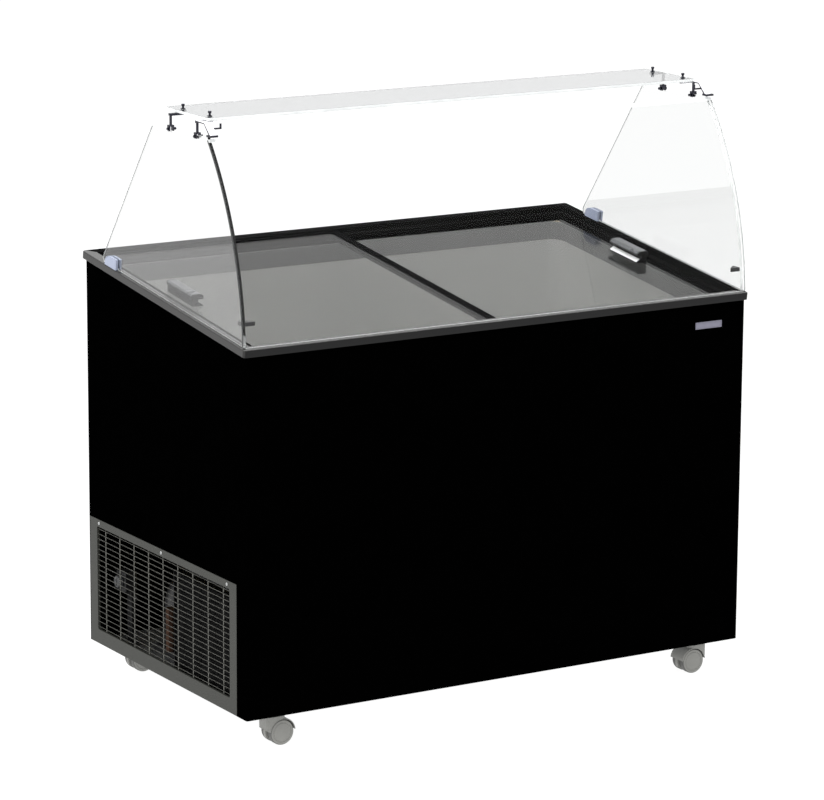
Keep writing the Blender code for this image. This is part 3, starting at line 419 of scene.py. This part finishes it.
def folded_sheet(name, face_y, wrap):
    inward = 1 if face_y < 0 else -1
    ends = face_y + inward * wrap
    plan = [(-HALF_W, ends), (-HALF_W, face_y), (HALF_W, face_y), (HALF_W, ends)]
    return trimmed_sheet(name, plan, BASE_Z, RIM_HEIGHT + GAP, min(0.004, wrap * 0.7), (0, face_y / 2))


dress(folded_sheet("front_sheet", -HALF_D, FRONT_WRAP), "root", BLACK_STEEL, "black_steel", "front_panel")
dress(boolean(folded_sheet("rear_sheet", HALF_D, REAR_WRAP), "DIFFERENCE",
              rod("inlet_cut", 0.0095, -0.02, 0.02, Vector((-0.500, HALF_D, 0.150)), "Y")),
      "root", BLACK_STEEL, "black_steel", "rear_panel")
side_front, side_rear = -HALF_D + FRONT_WRAP + GAP, HALF_D - REAR_WRAP - GAP
for side, word, foot in ((-1, "left", GRILLE_TOP + GAP), (1, "right", BASE_Z)):
    plan = [(side * HALF_W, side_front), (side * HALF_W, side_rear)]
    sheet = trimmed_sheet(word + "_side_sheet", plan, foot, RIM_HEIGHT + GAP, centre=(side * -5, 0))
    dress(sheet, "root", BLACK_STEEL, "black_steel", word + "_side_panel")


# ---------------------------------------------------------------- rim with two lid tracks
def swept_frame(name, profile, half_x, half_v, corner, steps=8, matrix=on_slope):
    """A profile of (inset, height) points swept round a rounded rectangle."""
    bm = bmesh.new()
    rings = []
    for inset, height in profile:
        x, v = half_x - inset, half_v - inset
        radius = max(corner - inset, 0.0012)
        ring = []
        for cx, cv, start in ((x, v, 0), (-x, v, 90), (-x, -v, 180), (x, -v, 270)):
            middle = (cx - math.copysign(radius, cx), cv - math.copysign(radius, cv))
            ring += [bm.verts.new((a, b, height)) for a, b in arc(middle, radius, start, start + 90, steps)]
        rings.append(ring)
    for ring, following in zip(rings, rings[1:] + rings[:1]):
        for k in range(len(ring)):
            bm.faces.new((ring[k], ring[(k + 1) % len(ring)], following[(k + 1) % len(ring)], following[k]))
    return object_from(bm, name, matrix)


rim_corners = [(0.0, 0.0), (LIP, 0.0), (LIP, -UPPER_TRACK_DROP), (LIP + TRACK, -UPPER_TRACK_DROP),
               (LIP + TRACK, -LOWER_TRACK_DROP), (LIP + 2 * TRACK, -LOWER_TRACK_DROP),
               (LIP + 2 * TRACK, -RIM_DROP), (0.036, -RIM_DROP), (0.036, -RIM_HEIGHT), (0.0, -RIM_HEIGHT)]
rim_fillets = [0.0028, 0.0012, 0.0010, 0.0012, 0.0010, 0.0012, 0.0, 0.0, 0.0, 0.0010]
rim = swept_frame("lid_track_rim", filleted(rim_corners, rim_fillets), RIM_X, RIM_V, 0.007)
# Upward faces and the track area inside the outer edge get the no-reflection copy: painted shade.
paint_faces(rim, RIM_PLASTIC, RIM_TOP_PAINTED_SHADE, lambda p: p.normal.z > 0.6 or (
    abs(p.center.x) < RIM_X - 0.004 and (on_slope.inverted() @ p.center).y ** 2 < (RIM_V - 0.004) ** 2))
# The left outer face gets painted light and the upward faces of the front and left lips a painted highlight.
rim.data.materials.append(RIM_LEFT_PAINTED_LIGHT)
rim.data.materials.append(RIM_LIP_PAINTED_HIGHLIGHT)
for polygon in rim.data.polygons:
    spot = on_slope.inverted() @ polygon.center
    if polygon.normal.x < -0.6 and spot.x < 0.004 - RIM_X:
        polygon.material_index = 2
    elif polygon.normal.z > 0.6 and spot.z > -0.002 and (spot.y < LIP - RIM_V or spot.x < LIP - RIM_X):
        polygon.material_index = 3
dress(rim, "root", RIM_PLASTIC, "rim_plastic", "top_rim")


# ---------------------------------------------------------------- tub
TUB_X, TUB_FRONT, TUB_REAR = 0.549, -0.288, 0.294
TUB_FLOOR, STEP_X, STEP_FLOOR, TUB_RADIUS = 0.135, -0.290, 0.390, 0.032
COLLAR_DROP = 0.062


def storage_shell(name, drop):
    outline = [(-TUB_X, STEP_FLOOR), (STEP_X, STEP_FLOOR), (STEP_X, TUB_FLOOR), (TUB_X, TUB_FLOOR),
               (TUB_X, 1.05), (-TUB_X, 1.05)]
    bm = bmesh.new()
    corners = [bm.verts.new((x, TUB_FRONT, z)) for x, z in outline]
    loop = [bm.edges.new(pair) for pair in zip(corners, corners[1:] + corners[:1])]
    face = bmesh.ops.edgeloop_fill(bm, edges=loop)["faces"]
    pushed = bmesh.ops.extrude_face_region(bm, geom=face)["geom"]
    bmesh.ops.translate(bm, vec=(0, TUB_REAR - TUB_FRONT, 0),
                        verts=[v for v in pushed if isinstance(v, bmesh.types.BMVert)])
    bmesh.ops.recalc_face_normals(bm, faces=bm.faces)
    bmesh.ops.bevel(bm, geom=list(bm.edges), offset=TUB_RADIUS, segments=8, profile=0.5, affect="EDGES")
    normal = Vector((0, -math.sin(SLOPE), math.cos(SLOPE)))
    bmesh.ops.bisect_plane(bm, geom=bm.verts[:] + bm.edges[:] + bm.faces[:], plane_no=normal,
                           clear_outer=True, plane_co=Vector((0, 0, TOP_Z)) - normal * drop)
    made = object_from(bm, name, angle=60)
    lining = made.modifiers.new("sheet", "SOLIDIFY")
    lining.thickness, lining.offset = SHEET, 1.0
    return applied(made, 60)


dress(storage_shell("tub_lining", COLLAR_DROP + GAP), "root", LINER, "white_liner", "liner_tub")

collar_x, collar_low, collar_high = TUB_X + 0.0005, TUB_FRONT - 0.0005, TUB_REAR + 0.0005
COLLAR_WALL = 0.0115


def plan_block(name, grow, low_z, high_z):
    """The tub's plan as a block with rounded upright corners."""
    x, front, rear, radius = collar_x + grow, collar_low - grow, collar_high + grow, TUB_RADIUS + grow
    outline = []
    for cx, cy, start in ((x, rear, 0), (-x, rear, 90), (-x, front, 180), (x, front, 270)):
        middle = (cx - math.copysign(radius, cx), cy - math.copysign(radius, cy))
        outline += arc(middle, radius, start, start + 90, 10)
    return prism(name, outline, low_z, high_z, "XY")


collar = boolean(plan_block("tub_collar", COLLAR_WALL, 0.6, 1.0), "DIFFERENCE",
                 plan_block("collar_hole", 0.0, 0.5, 1.1),
                 block("collar_below", (-0.8, -0.6, -0.6), (0.8, 0.6, -COLLAR_DROP), matrix=on_slope),
                 block("collar_above", (-0.8, -0.6, -RIM_DROP - GAP), (0.8, 0.6, 0.4), matrix=on_slope))
dress(collar, "root", COLLAR, "grey_collar", "liner_collar")


# ---------------------------------------------------------------- lids
LID_HEIGHT, LID_PANE = 0.0067, 0.004
SLIM, BAR = 0.006, 0.020


def lid(side, low, high, half_v, track_drop, left, right):
    """The lid's frame with rounded bars, and its pane."""
    foot = -track_drop + GAP
    top = foot + LID_HEIGHT
    body = side + "_lid"
    bars = block(side + "_lid_bars", (low, -half_v, foot), (high, half_v, top), 0.0016, 4, on_slope)
    hole = block(side + "_lid_hole", (low + left, -half_v + SLIM, -0.1), (high - right, half_v - SLIM, 0.1),
                 matrix=on_slope)
    boolean(bars, "DIFFERENCE", hole)
    dress(bars, body, LID_PLASTIC, "lid_frame_plastic", side + "_lid_frame")
    pane = block(side + "_lid_pane", (low + left + GAP, -half_v + SLIM + GAP, foot + 0.0012),
                 (high - right - GAP, half_v - SLIM - GAP, foot + 0.0012 + LID_PANE), 0.0004, 2, on_slope)
    dress(pane, body, LID_GLASS, "lid_glass", side + "_lid_glass")
    return foot + 0.0012 + LID_PANE


UPPER_LID, LOWER_LID = (-0.5755, -0.0020), (-0.0220, 0.5605)
UPPER_V = RIM_V - LIP - 0.0012
LOWER_V = RIM_V - LIP - TRACK - 0.0012
upper_pane_top = lid("left", *UPPER_LID, UPPER_V, UPPER_TRACK_DROP, SLIM, BAR)
lower_pane_top = lid("right", *LOWER_LID, LOWER_V, LOWER_TRACK_DROP, BAR, SLIM)

HANDLE_LENGTH, HANDLE_WIDTH, HANDLE_HEIGHT = 0.108, 0.028, 0.025
LEFT_HANDLE_INSET, RIGHT_HANDLE_INSET, CAP = 0.0150, 0.0085, 0.003


def handle(side, x_inner, direction, foot):
    """T-shaped black grip, a rounded bar on a stem: the bar's upward faces carry a grey painted sheen and the
    ramp under the bar a white painted highlight.
    """
    w, h = HANDLE_WIDTH, HANDLE_HEIGHT
    stem_low, stem_high, underside = 0.0125, w - 0.003, 0.0145
    corners = [(0, 0), (stem_high, 0), (stem_high, underside), (w, underside + 0.002), (w, h - 0.003),
               (w - 0.003, h), (0.006, h), (0, h - 0.005), (0, underside + 0.002), (0.0015, underside),
               (stem_low, underside), (stem_low, 0.0095), (0.0095, 0.0075), (0.0015, 0.0022), (0, 0.0015)]
    radii = [0.0003, 0.0003, 0.0008, 0.0010, 0.0018, 0.0018, 0.0035, 0.0030, 0.0010, 0.0006, 0.0010, 0.0004,
             0, 0.0004, 0.0003]
    half = HANDLE_LENGTH / 2
    placed = on_slope @ Matrix.Translation((x_inner, 0, foot + GAP)) @ Matrix.Scale(direction, 4, (1, 0, 0))
    outline = filleted(corners, radii, 6)
    grip = prism(side + "_grip", outline, CAP - half, half - CAP, "XZ", 0.0, 0, placed, 50)
    caps = [prism(f"{side}_grip_cap_{end}", outline, *sorted((end * half, end * (half - CAP))), "XZ",
                  0.0005, 2, placed, 50) for end in (-1, 1)]
    back_to_profile = placed.inverted()
    back_turn = placed.to_3x3().transposed()
    plastic_and_painted_light = (BLACK_PLASTIC, HANDLE_SHEEN_AND_KNOB_GREY, RAMP_PAINTED_HIGHLIGHT)
    # Upward faces of the bar get the grey painted sheen, upward faces of the ramp the white painted
    # highlight; the rest stays black.
    for polygon in grip.data.polygons:
        spot = back_to_profile @ polygon.center
        normal = back_turn @ polygon.normal
        if spot.z > underside + 0.003 and normal.z > 0.25:
            polygon.material_index = 1
        elif spot.x < 0.0095 and 0.0015 < spot.z < 0.0075 and normal.z > 0.3:
            polygon.material_index = 2
    whole = joined(side + "_handle_grip", [grip] + caps)
    for finish in plastic_and_painted_light:
        whole.data.materials.append(finish)
    return dress(whole, side + "_lid", HANDLE_SHEEN_AND_KNOB_GREY, "handle_plastic", side + "_lid_handle")


handle("left", UPPER_LID[0] + LEFT_HANDLE_INSET + HANDLE_WIDTH, -1, upper_pane_top)
handle("right", LOWER_LID[1] - RIGHT_HANDLE_INSET - HANDLE_WIDTH, 1, lower_pane_top)


# ---------------------------------------------------------------- canopy glass
CANOPY_TOP, SIDE_GLASS_TOP = 1.220, 1.225
FRONT_GLASS_Y, FRONT_GLASS_TOP_Y = -0.339, -0.199
FRONT_GLASS_LEAN = math.radians(2.0)
SIDE_GLASS_X, SIDE_GLASS_REAR = 0.597, 0.262


def front_glass_arc(offset=0.0, steps=56):
    """Points (y, z) up the curved front glass; offset moves them towards the back."""
    foot_z = top_z(FRONT_GLASS_Y) + 0.0006
    rise, run = CANOPY_TOP - foot_z, FRONT_GLASS_TOP_Y - FRONT_GLASS_Y
    last = 2 * math.atan2(run, rise) - FRONT_GLASS_LEAN
    radius = rise / (math.sin(last) - math.sin(FRONT_GLASS_LEAN))
    centre = (FRONT_GLASS_Y + radius * math.cos(FRONT_GLASS_LEAN),
              foot_z - radius * math.sin(FRONT_GLASS_LEAN))
    return arc(centre, radius - offset, 180 - math.degrees(FRONT_GLASS_LEAN), 180 - math.degrees(last), steps)


sheet_outline = front_glass_arc(-GLASS / 2) + front_glass_arc(GLASS / 2)[::-1]
front = prism("curved_front_pane", sheet_outline, -0.603, 0.603, "YZ", 0.0006, 2, angle=50)
# The front pane's left end face gets the painted dark reflection; its right end face and top edge get painted
# pale light.
paint_faces(front, CANOPY_GLASS, EDGE_PAINTED_DARK_REFLECTION, lambda p: p.normal.x < -0.9)
front.data.materials.append(EDGE_PAINTED_LIGHT)
for polygon in front.data.polygons:
    if polygon.normal.x > 0.9 or polygon.center.z > CANOPY_TOP - 0.002:
        polygon.material_index = 2
dress(front, "root", CANOPY_GLASS, "canopy_glass", "front_glass")

behind_front = front_glass_arc(GLASS / 2 + GAP)
foot_y = behind_front[0][0]
side_corners = [(foot_y, top_z(foot_y) + 0.0006), (SIDE_GLASS_REAR, top_z(SIDE_GLASS_REAR) + 0.0006)]
side_corners += filleted([(0, 0), (SIDE_GLASS_REAR + 0.004, top_z(SIDE_GLASS_REAR) + 0.012),
                          (0.036, SIDE_GLASS_TOP), (0, 0)], [0, 0.004, 0.014, 0])[1:-1]
side_corners.append((behind_front[-1][0] + 0.002, SIDE_GLASS_TOP))
side_corners += behind_front[1:][::-1]
HOLDER_V, HOLDER_FLOOR, CHEEK = (0.200, 0.250), 0.0034, 0.0052
for side, word in ((-1, "left"), (1, "right")):
    middle = side * SIDE_GLASS_X
    pane = prism(word + "_side_pane", side_corners, middle - GLASS / 2, middle + GLASS / 2, "YZ", 0.0006, 2,
                 angle=50)
    notch = block(word + "_pane_notch", (middle - 0.02, HOLDER_V[0] - GAP, -0.02),
                  (middle + 0.02, HOLDER_V[1] + GAP, HOLDER_FLOOR + GAP), matrix=on_slope)
    boolean(pane, "DIFFERENCE", notch)
    # The side panes' edge faces get painted pale light; on the left pane only towards the rear.
    rear_only = -0.19 if side < 0 else -1.0
    paint_faces(pane, SIDE_GLASS, EDGE_PAINTED_LIGHT, lambda p: abs(p.normal.x) < 0.8 and p.center.y > rear_only)
    dress(pane, "root", SIDE_GLASS, "canopy_glass", word + "_side_glass")

SHELF_Z, SHELF_HALF, SHELF_FRONT, SHELF_REAR = 1.255, 0.585, -0.168, 0.015
STUD_X, STUD_YS, STUD_RADIUS = 0.569, (-0.146, -0.034), 0.0028
shelf_outline = filleted([(-SHELF_HALF, SHELF_FRONT), (SHELF_HALF, SHELF_FRONT), (SHELF_HALF, SHELF_REAR),
                          (-SHELF_HALF, SHELF_REAR)], 0.006)
shelf = prism("shelf_pane", shelf_outline, SHELF_Z - GLASS / 2, SHELF_Z + GLASS / 2, "XY", 0.0008, 2,
              angle=50)
stud_holes = [rod(f"hole_{x}_{y}", STUD_RADIUS + 0.0007, -0.02, 0.02, Vector((x, y, SHELF_Z)))
              for x in (-STUD_X, STUD_X) for y in STUD_YS]
boolean(shelf, "DIFFERENCE", *stud_holes)
paint_faces(shelf, SHELF_GLASS, SHELF_EDGE, lambda p: abs(p.normal.z) < 0.5)
dress(shelf, "root", SHELF_GLASS, "canopy_glass", "top_shelf")

for word in ("left", "right"):
    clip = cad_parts["front_clip_" + word]
    clip.data.materials.clear()
    clip.data.materials.append(BLACK_PLASTIC)
    side = -1 if word == "left" else 1
    half, middle = GLASS / 2 + GAP, side * SIDE_GLASS_X
    low_v, high_v = HOLDER_V
    profile = [(low_v, GAP), (high_v, GAP), (high_v, 0.009), (high_v - 0.003, 0.016), (high_v - 0.010, 0.021),
               (high_v - 0.020, 0.023), (low_v, 0.023)]
    radii = [0.001, 0.001, 0.004, 0.004, 0.006, 0.006, 0.002]
    cheeks = [prism(f"{word}_foot_cheek_{face}", filleted(profile, radii, 6),
                    *sorted((middle + face * half, middle + face * (half + CHEEK))), "YZ", 0.0010, 3,
                    on_slope, 50)
              for face in (-1, 1)]
    base = block(word + "_foot_base", (middle - half, low_v, GAP), (middle + half, high_v, HOLDER_FLOOR),
                 matrix=on_slope)
    foot = joined(word + "_glass_foot", cheeks + [base])
    dress(foot, "root", HOLDER, "holder_plastic", "rear_glass_holder_" + word)


# ---------------------------------------------------------------- badge and mains inlet
badge_low, badge_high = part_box("badge_plate")
badge = block("nameplate", badge_low, badge_high, 0.0011, 3)
recess = block("nameplate_recess", (badge_low.x + 0.003, badge_low.y - 0.01, badge_low.z + 0.003),
               (badge_high.x - 0.003, badge_low.y + 0.0004, badge_high.z - 0.003))
boolean(badge, "DIFFERENCE", recess)
paint_faces(badge, BADGE, BADGE_FACE,
            lambda p: p.normal.y < -0.9 and badge_low.y + 0.0002 < p.center.y < badge_low.y + 0.0008)
dress(badge, "root", BADGE, "badge_plate", "badge_plate")

inlet_at = Vector((-0.500, HALF_D, 0.150))
grommet = [(0.0042, -0.014), (0.0091, -0.014), (0.0091, GAP), (0.0130, GAP), (0.0135, 0.0008),
           (0.0130, 0.0024), (0.0105, 0.0038), (0.0060, 0.0038), (0.0046, 0.0030), (0.0042, 0.0015)]
GROMMET_SIDES = 40
bm = bmesh.new()
rings = []
for radius, height in grommet:
    turns = [k * math.tau / GROMMET_SIDES for k in range(GROMMET_SIDES)]
    rings.append([bm.verts.new((radius * math.cos(turn), height, radius * math.sin(turn))) for turn in turns])
for ring, following in zip(rings, rings[1:] + rings[:1]):
    for k in range(GROMMET_SIDES):
        after = (k + 1) % GROMMET_SIDES
        bm.faces.new((ring[k], ring[after], following[after], following[k]))
grommet_ring = object_from(bm, "inlet_grommet", Matrix.Translation(inlet_at))
dress(grommet_ring, "root", BLACK_PLASTIC, "black_plastic", "mains_inlet")


# ---------------------------------------------------------------- grille
frame_low, frame_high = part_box("grille_frame")
OPEN_FRONT, OPEN_REAR = -0.275, 0.308
OPEN_FOOT, OPEN_TOP = BASE_Z + 0.031, BASE_Z + 0.257
border = block("grille_border", frame_low, frame_high, 0.0010, 3)
opening = block("grille_border_hole", (-0.7, OPEN_FRONT, OPEN_FOOT), (-0.5, OPEN_REAR, OPEN_TOP), 0.004, 4)
boolean(border, "DIFFERENCE", opening)
dress(border, "root", GRILLE, "grille_metal", "grille_frame")

SLATS, TIES = 20, 9
lattice = []
bar_low, bar_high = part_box("grille_bars")
pitch = (OPEN_TOP - OPEN_FOOT) / SLATS
for index in range(SLATS):
    z = OPEN_FOOT + (index + 0.5) * pitch
    slat = [(-0.0024, 0.0016), (-0.0014, 0.0018), (0.0026, -0.0010), (0.0022, -0.0018), (0.0012, -0.0016)]
    middle = (bar_low.x + bar_high.x) / 2
    lattice.append(prism(f"slat_{index}", [(middle + x, z + h) for x, h in slat], OPEN_FRONT + GAP,
                         OPEN_REAR - GAP, "XZ"))
for index in range(TIES):
    y = OPEN_FRONT + (index + 0.5) * (OPEN_REAR - OPEN_FRONT) / TIES
    lattice.append(rod(f"tie_{index}", 0.0012, OPEN_FOOT + GAP, OPEN_TOP - GAP,
                       Vector((bar_high.x + 0.0005, y, 0)), "Z", steps=10))
dress(joined("grille_louvres", lattice), "root", GRILLE_WIRE, "grille_metal", "grille_bars")

screws = []
for y in (OPEN_FRONT + 0.01, (OPEN_FRONT + OPEN_REAR) / 2, OPEN_REAR - 0.01):
    at = Vector((-HALF_W, y, OPEN_TOP + 0.008))
    head = rod(f"screw_{y:.2f}", 0.0034, -0.0012, 0.0006, at, "X", 0.0006, 24)
    slots = [block("screw_slot", at - Vector((0.01, wide, tall)), at + Vector((-0.0004, wide, tall)))
             for wide, tall in ((0.0022, 0.0004), (0.0004, 0.0022))]
    screws.append(boolean(head, "DIFFERENCE", *slots))
dress(joined("grille_screws", screws), "root", STEEL, "zinc_steel")


# ---------------------------------------------------------------- machine compartment
pot_low, pot_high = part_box("compressor")
pot_centre = Vector(((pot_low.x + pot_high.x) / 2, (pot_low.y + pot_high.y) / 2, 0))
POT_RADIUS = 0.072
pot_foot = pot_low.z + 0.012
shell = [(0, pot_foot)]
shell += [(POT_RADIUS - 0.020 + r, pot_foot + 0.020 + h) for r, h in arc((0, 0), 0.020, -90, 0, 8)]
LID_RADIUS, DOME_FOOT = POT_RADIUS - 0.002, pot_foot + 0.095
shell += [(POT_RADIUS, pot_foot + 0.066), (POT_RADIUS, pot_foot + 0.068), (LID_RADIUS, pot_foot + 0.070),
          (LID_RADIUS, pot_foot + 0.074)]
dome = arc((0, 0), 1.0, 0, 90, 12)
shell += [(LID_RADIUS * math.sqrt(max(r, 0.0)), DOME_FOOT + (pot_high.z - DOME_FOOT) * h) for r, h in dome]
shell[-1] = (0, pot_high.z)
pot = turned("compressor_shell", shell, pot_centre, steps=72)
feet = block("compressor_foot", (pot_low.x + 0.010, pot_low.y, pot_low.z),
             (pot_high.x - 0.010, pot_high.y, pot_low.z + 0.015), 0.005, 3)
boolean(pot, "UNION", feet)
dress(pot, "root", COMPRESSOR, "compressor_black", "compressor")

fins_low, fins_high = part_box("condenser")
plates = []
FINS = 84
for index in range(FINS):
    y = fins_low.y + 0.002 + index * (fins_high.y - fins_low.y - 0.004) / (FINS - 1)
    plates.append(block(f"fin_{index}", (fins_low.x + 0.003, y - 0.0003, fins_low.z + 0.004),
                        (fins_high.x - 0.001, y + 0.0003, fins_high.z - 0.004)))
for index in range(8):
    z = fins_low.z + 0.018 + index * 0.028
    plates.append(rod(f"fin_tube_{index}", 0.0045, fins_low.y + 0.001, fins_high.y - 0.001,
                      Vector(((fins_low.x + fins_high.x) / 2, 0, z)), "Y", steps=16))
for y in (fins_low.y, fins_high.y - 0.0015):
    plates.append(block(f"end_plate_{y:.2f}", (fins_low.x, y, fins_low.z),
                        (fins_high.x, y + 0.0015, fins_high.z), 0.0004, 1))
dress(joined("condenser_fins", plates), "root", FINS_PAINTED_SHADE, "condenser_fins", "condenser")

fan_low, fan_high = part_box("fan_blade")
fan_at = Vector(((fan_low.x + fan_high.x) / 2, -0.140, 0.190))
hub = rod("fan_wheel", 0.020, -0.008, 0.008, fan_at, "X", 0.003, 48)
blades = []
for index in range(5):
    bm = bmesh.new()
    grid = bmesh.ops.create_grid(bm, x_segments=8, y_segments=8, size=0.5)["verts"]
    for vert in grid:
        across, along = vert.co.x, vert.co.y + 0.5
        radius = 0.017 + 0.066 * along
        width = 0.030 + 0.012 * math.sin(math.pi * along)
        turn = math.radians(38 - 14 * along)
        sweep = 0.010 * along * along
        vert.co = (across * width * math.sin(turn) * 0.62 + 0.0015 * math.cos(math.pi * across),
                   across * width * math.cos(turn) + sweep, radius)
    blade = object_from(bm, f"blade_{index}",
                        Matrix.Translation(fan_at) @ Matrix.Rotation(index * math.tau / 5, 4, "X"))
    thick = blade.modifiers.new("thickness", "SOLIDIFY")
    thick.thickness, thick.offset = 0.0012, 0.0
    blades.append(applied(blade))
dress(joined("fan_wheel_and_blades", [hub] + blades), "fan_rotor", ALUMINIUM, "aluminium", "fan_blade")


# ---------------------------------------------------------------- castors
def castor(word, x, y, trail):
    hub_z = 0.0265
    axle = Vector((x + trail * 0.020, y, hub_z))
    neck_top = BASE_Z - GAP - 0.008 - GAP
    cover = rod(f"hood_{word}", 0.0300, -0.0230, 0.0230, axle, "Y", 0.0015, 96)
    low, high = sorted((x - trail * 0.0135, axle.x + trail * 0.0085))
    neck = block(f"neck_{word}", (low, y - 0.0225, 0.036), (high, y + 0.0225, neck_top))
    uprights = neck.modifiers.new("uprights", "BEVEL")
    uprights.width, uprights.segments, uprights.limit_method = 0.010, 10, "WEIGHT"
    weights = neck.data.attributes.new("bevel_weight_edge", "FLOAT", "EDGE")
    for edge in neck.data.edges:
        ends = [neck.data.vertices[k].co for k in edge.vertices]
        weights.data[edge.index].value = 1.0 if abs(ends[0].z - ends[1].z) > 0.01 else 0.0
    applied(neck)
    boolean(cover, "UNION", neck)
    pockets, skirts = [], []
    for s in (-1, 1):
        near, far = sorted((s * 0.0042, s * 0.04))
        pockets.append(rod(f"pocket_{word}_{s}", 0.0278, near, far, axle, "Y", steps=96))
        skirts.append(block(f"skirt_{word}_{s}", axle + Vector((-0.05, near, -0.05)),
                            axle + Vector((0.05, far, 0.004))))
    web_foot = block(f"web_foot_{word}", axle + Vector((-0.05, -0.05, -0.05)),
                     axle + Vector((0.05, 0.05, -0.013)))
    axle_bore = rod(f"bore_{word}", 0.0042, -0.03, 0.03, axle, "Y")
    pin_bore = rod(f"pin_bore_{word}", 0.0054, -0.0187, 0.01, Vector((x, y, neck_top)), "Z")
    boolean(cover, "DIFFERENCE", *pockets, *skirts, web_foot, axle_bore, pin_bore)
    dress(cover, "swivel_" + word, CASTOR_GREY, "castor_grey", "castor_hood_" + word)

    wheels = []
    inner, outer, radius = 0.0062, 0.0215, hub_z
    for s in (-1, 1):
        profile = [(0, inner), (0.0200, inner), (0.0245, inner + 0.0006)]
        profile += [(radius - 0.0022 + r, inner + 0.0028 + h) for r, h in arc((0, 0), 0.0022, -90, 0, 4)]
        profile += [(radius - 0.0030 + r, outer - 0.0036 + h) for r, h in arc((0, 0), 0.0030, 0, 90, 6)]
        profile += [(0.0212, outer - 0.0006), (0.0205, outer - 0.0014), (0.0195, outer - 0.0014),
                    (0.0185, outer - 0.0006), (0.0100, outer - 0.0002), (0.0085, outer), (0.0060, outer),
                    (0, outer)]
        spots = profile if s > 0 else [(r, -h) for r, h in reversed(profile)]
        wheels.append(turned(f"wheel_{word}_{s}", spots, axle, "Y", 72))
    wheels.append(rod(f"axle_{word}", 0.0038, -inner - 0.001, inner + 0.001, axle, "Y", steps=24))
    pair = joined("wheel_pair_" + word, wheels)
    paint_faces(pair, TREAD, CASTOR_GREY,
                lambda p: (Vector(p.center) - axle).cross(Vector((0, 1, 0))).length < 0.0248)
    dress(pair, "wheels_" + word, TREAD, "castor_tread", "castor_wheels_" + word)


for word, x_side, y_side in (("front_left", -1, -1), ("front_right", 1, -1), ("rear_left", -1, 1),
                             ("rear_right", 1, 1)):
    castor(word, x_side * 0.525, y_side * 0.300, -x_side)


# ---------------------------------------------------------------- floor, light and camera
floor_mesh = bpy.data.meshes.new("floor")
floor_bm = bmesh.new()
bmesh.ops.create_grid(floor_bm, x_segments=2, y_segments=2, size=60.0)
floor_bm.to_mesh(floor_mesh)
floor_bm.free()
floor = bpy.data.objects.new("studio_floor", floor_mesh)
bpy.context.scene.collection.objects.link(floor)
paper = bpy.data.materials.new("studio_paper")
paper.use_nodes = True
paper_shader = paper.node_tree.nodes["Principled BSDF"]
paper_shader.inputs["Base Color"].default_value = (0.15, 0.15, 0.15, 1)
paper_shader.inputs["Roughness"].default_value = 0.9
paper_shader.inputs["Specular IOR Level"].default_value = 0.0
paper_shader.inputs["Emission Color"].default_value = (1, 1, 1, 1)
paper_shader.inputs["Emission Strength"].default_value = 0.95
floor_mesh.materials.append(paper)

world = bpy.data.worlds.new("studio")
world.use_nodes = True
world.node_tree.nodes["Background"].inputs["Color"].default_value = (1, 1, 1, 1)
world.node_tree.nodes["Background"].inputs["Strength"].default_value = 1.0
bpy.context.scene.world = world


def softbox(name, position, target, width, height, power):
    lamp = bpy.data.lights.new(name, "AREA")
    lamp.shape, lamp.size, lamp.size_y, lamp.energy = "RECTANGLE", width, height, power
    made = bpy.data.objects.new(name, lamp)
    made.location = position
    made.rotation_euler = (Vector(target) - Vector(position)).to_track_quat("-Z", "Y").to_euler()
    bpy.context.scene.collection.objects.link(made)


softbox("overhead_softbox", (-0.4, -0.2, 3.6), (0, 0, 0.8), 3.2, 2.4, 150)
softbox("left_softbox", (-4.0, -1.0, 2.2), (0, 0, 0.7), 2.0, 2.4, 45)

AZIMUTH, ELEVATION, ROLL = math.radians(-31.354), math.radians(12.560), math.radians(0.346)
DISTANCE, TARGET = 8.2816, Vector((-0.0091, 0.0, 0.5245 + BASE_Z))
back = Vector((math.sin(AZIMUTH) * math.cos(ELEVATION), -math.cos(AZIMUTH) * math.cos(ELEVATION),
               math.sin(ELEVATION)))
right = (-back).cross(Vector((0, 0, 1))).normalized()
up = back.cross(right)
rolled_right = right * math.cos(ROLL) + up * math.sin(ROLL)
rolled_up = up * math.cos(ROLL) - right * math.sin(ROLL)
camera_data = bpy.data.cameras.new("camera")
camera_data.lens, camera_data.sensor_width = 171.30, 36.0
camera_data.clip_end = 200
camera = bpy.data.objects.new("camera", camera_data)
place = Matrix((rolled_right, rolled_up, back)).transposed().to_4x4()
camera.matrix_world = Matrix.Translation(TARGET + back * DISTANCE) @ place
bpy.context.scene.collection.objects.link(camera)
bpy.context.scene.camera = camera
bpy.context.scene.view_settings.view_transform = "Standard"
cycles = bpy.context.scene.cycles
cycles.use_denoising = True
cycles.max_bounces, cycles.transmission_bounces, cycles.diffuse_bounces = 24, 20, 6
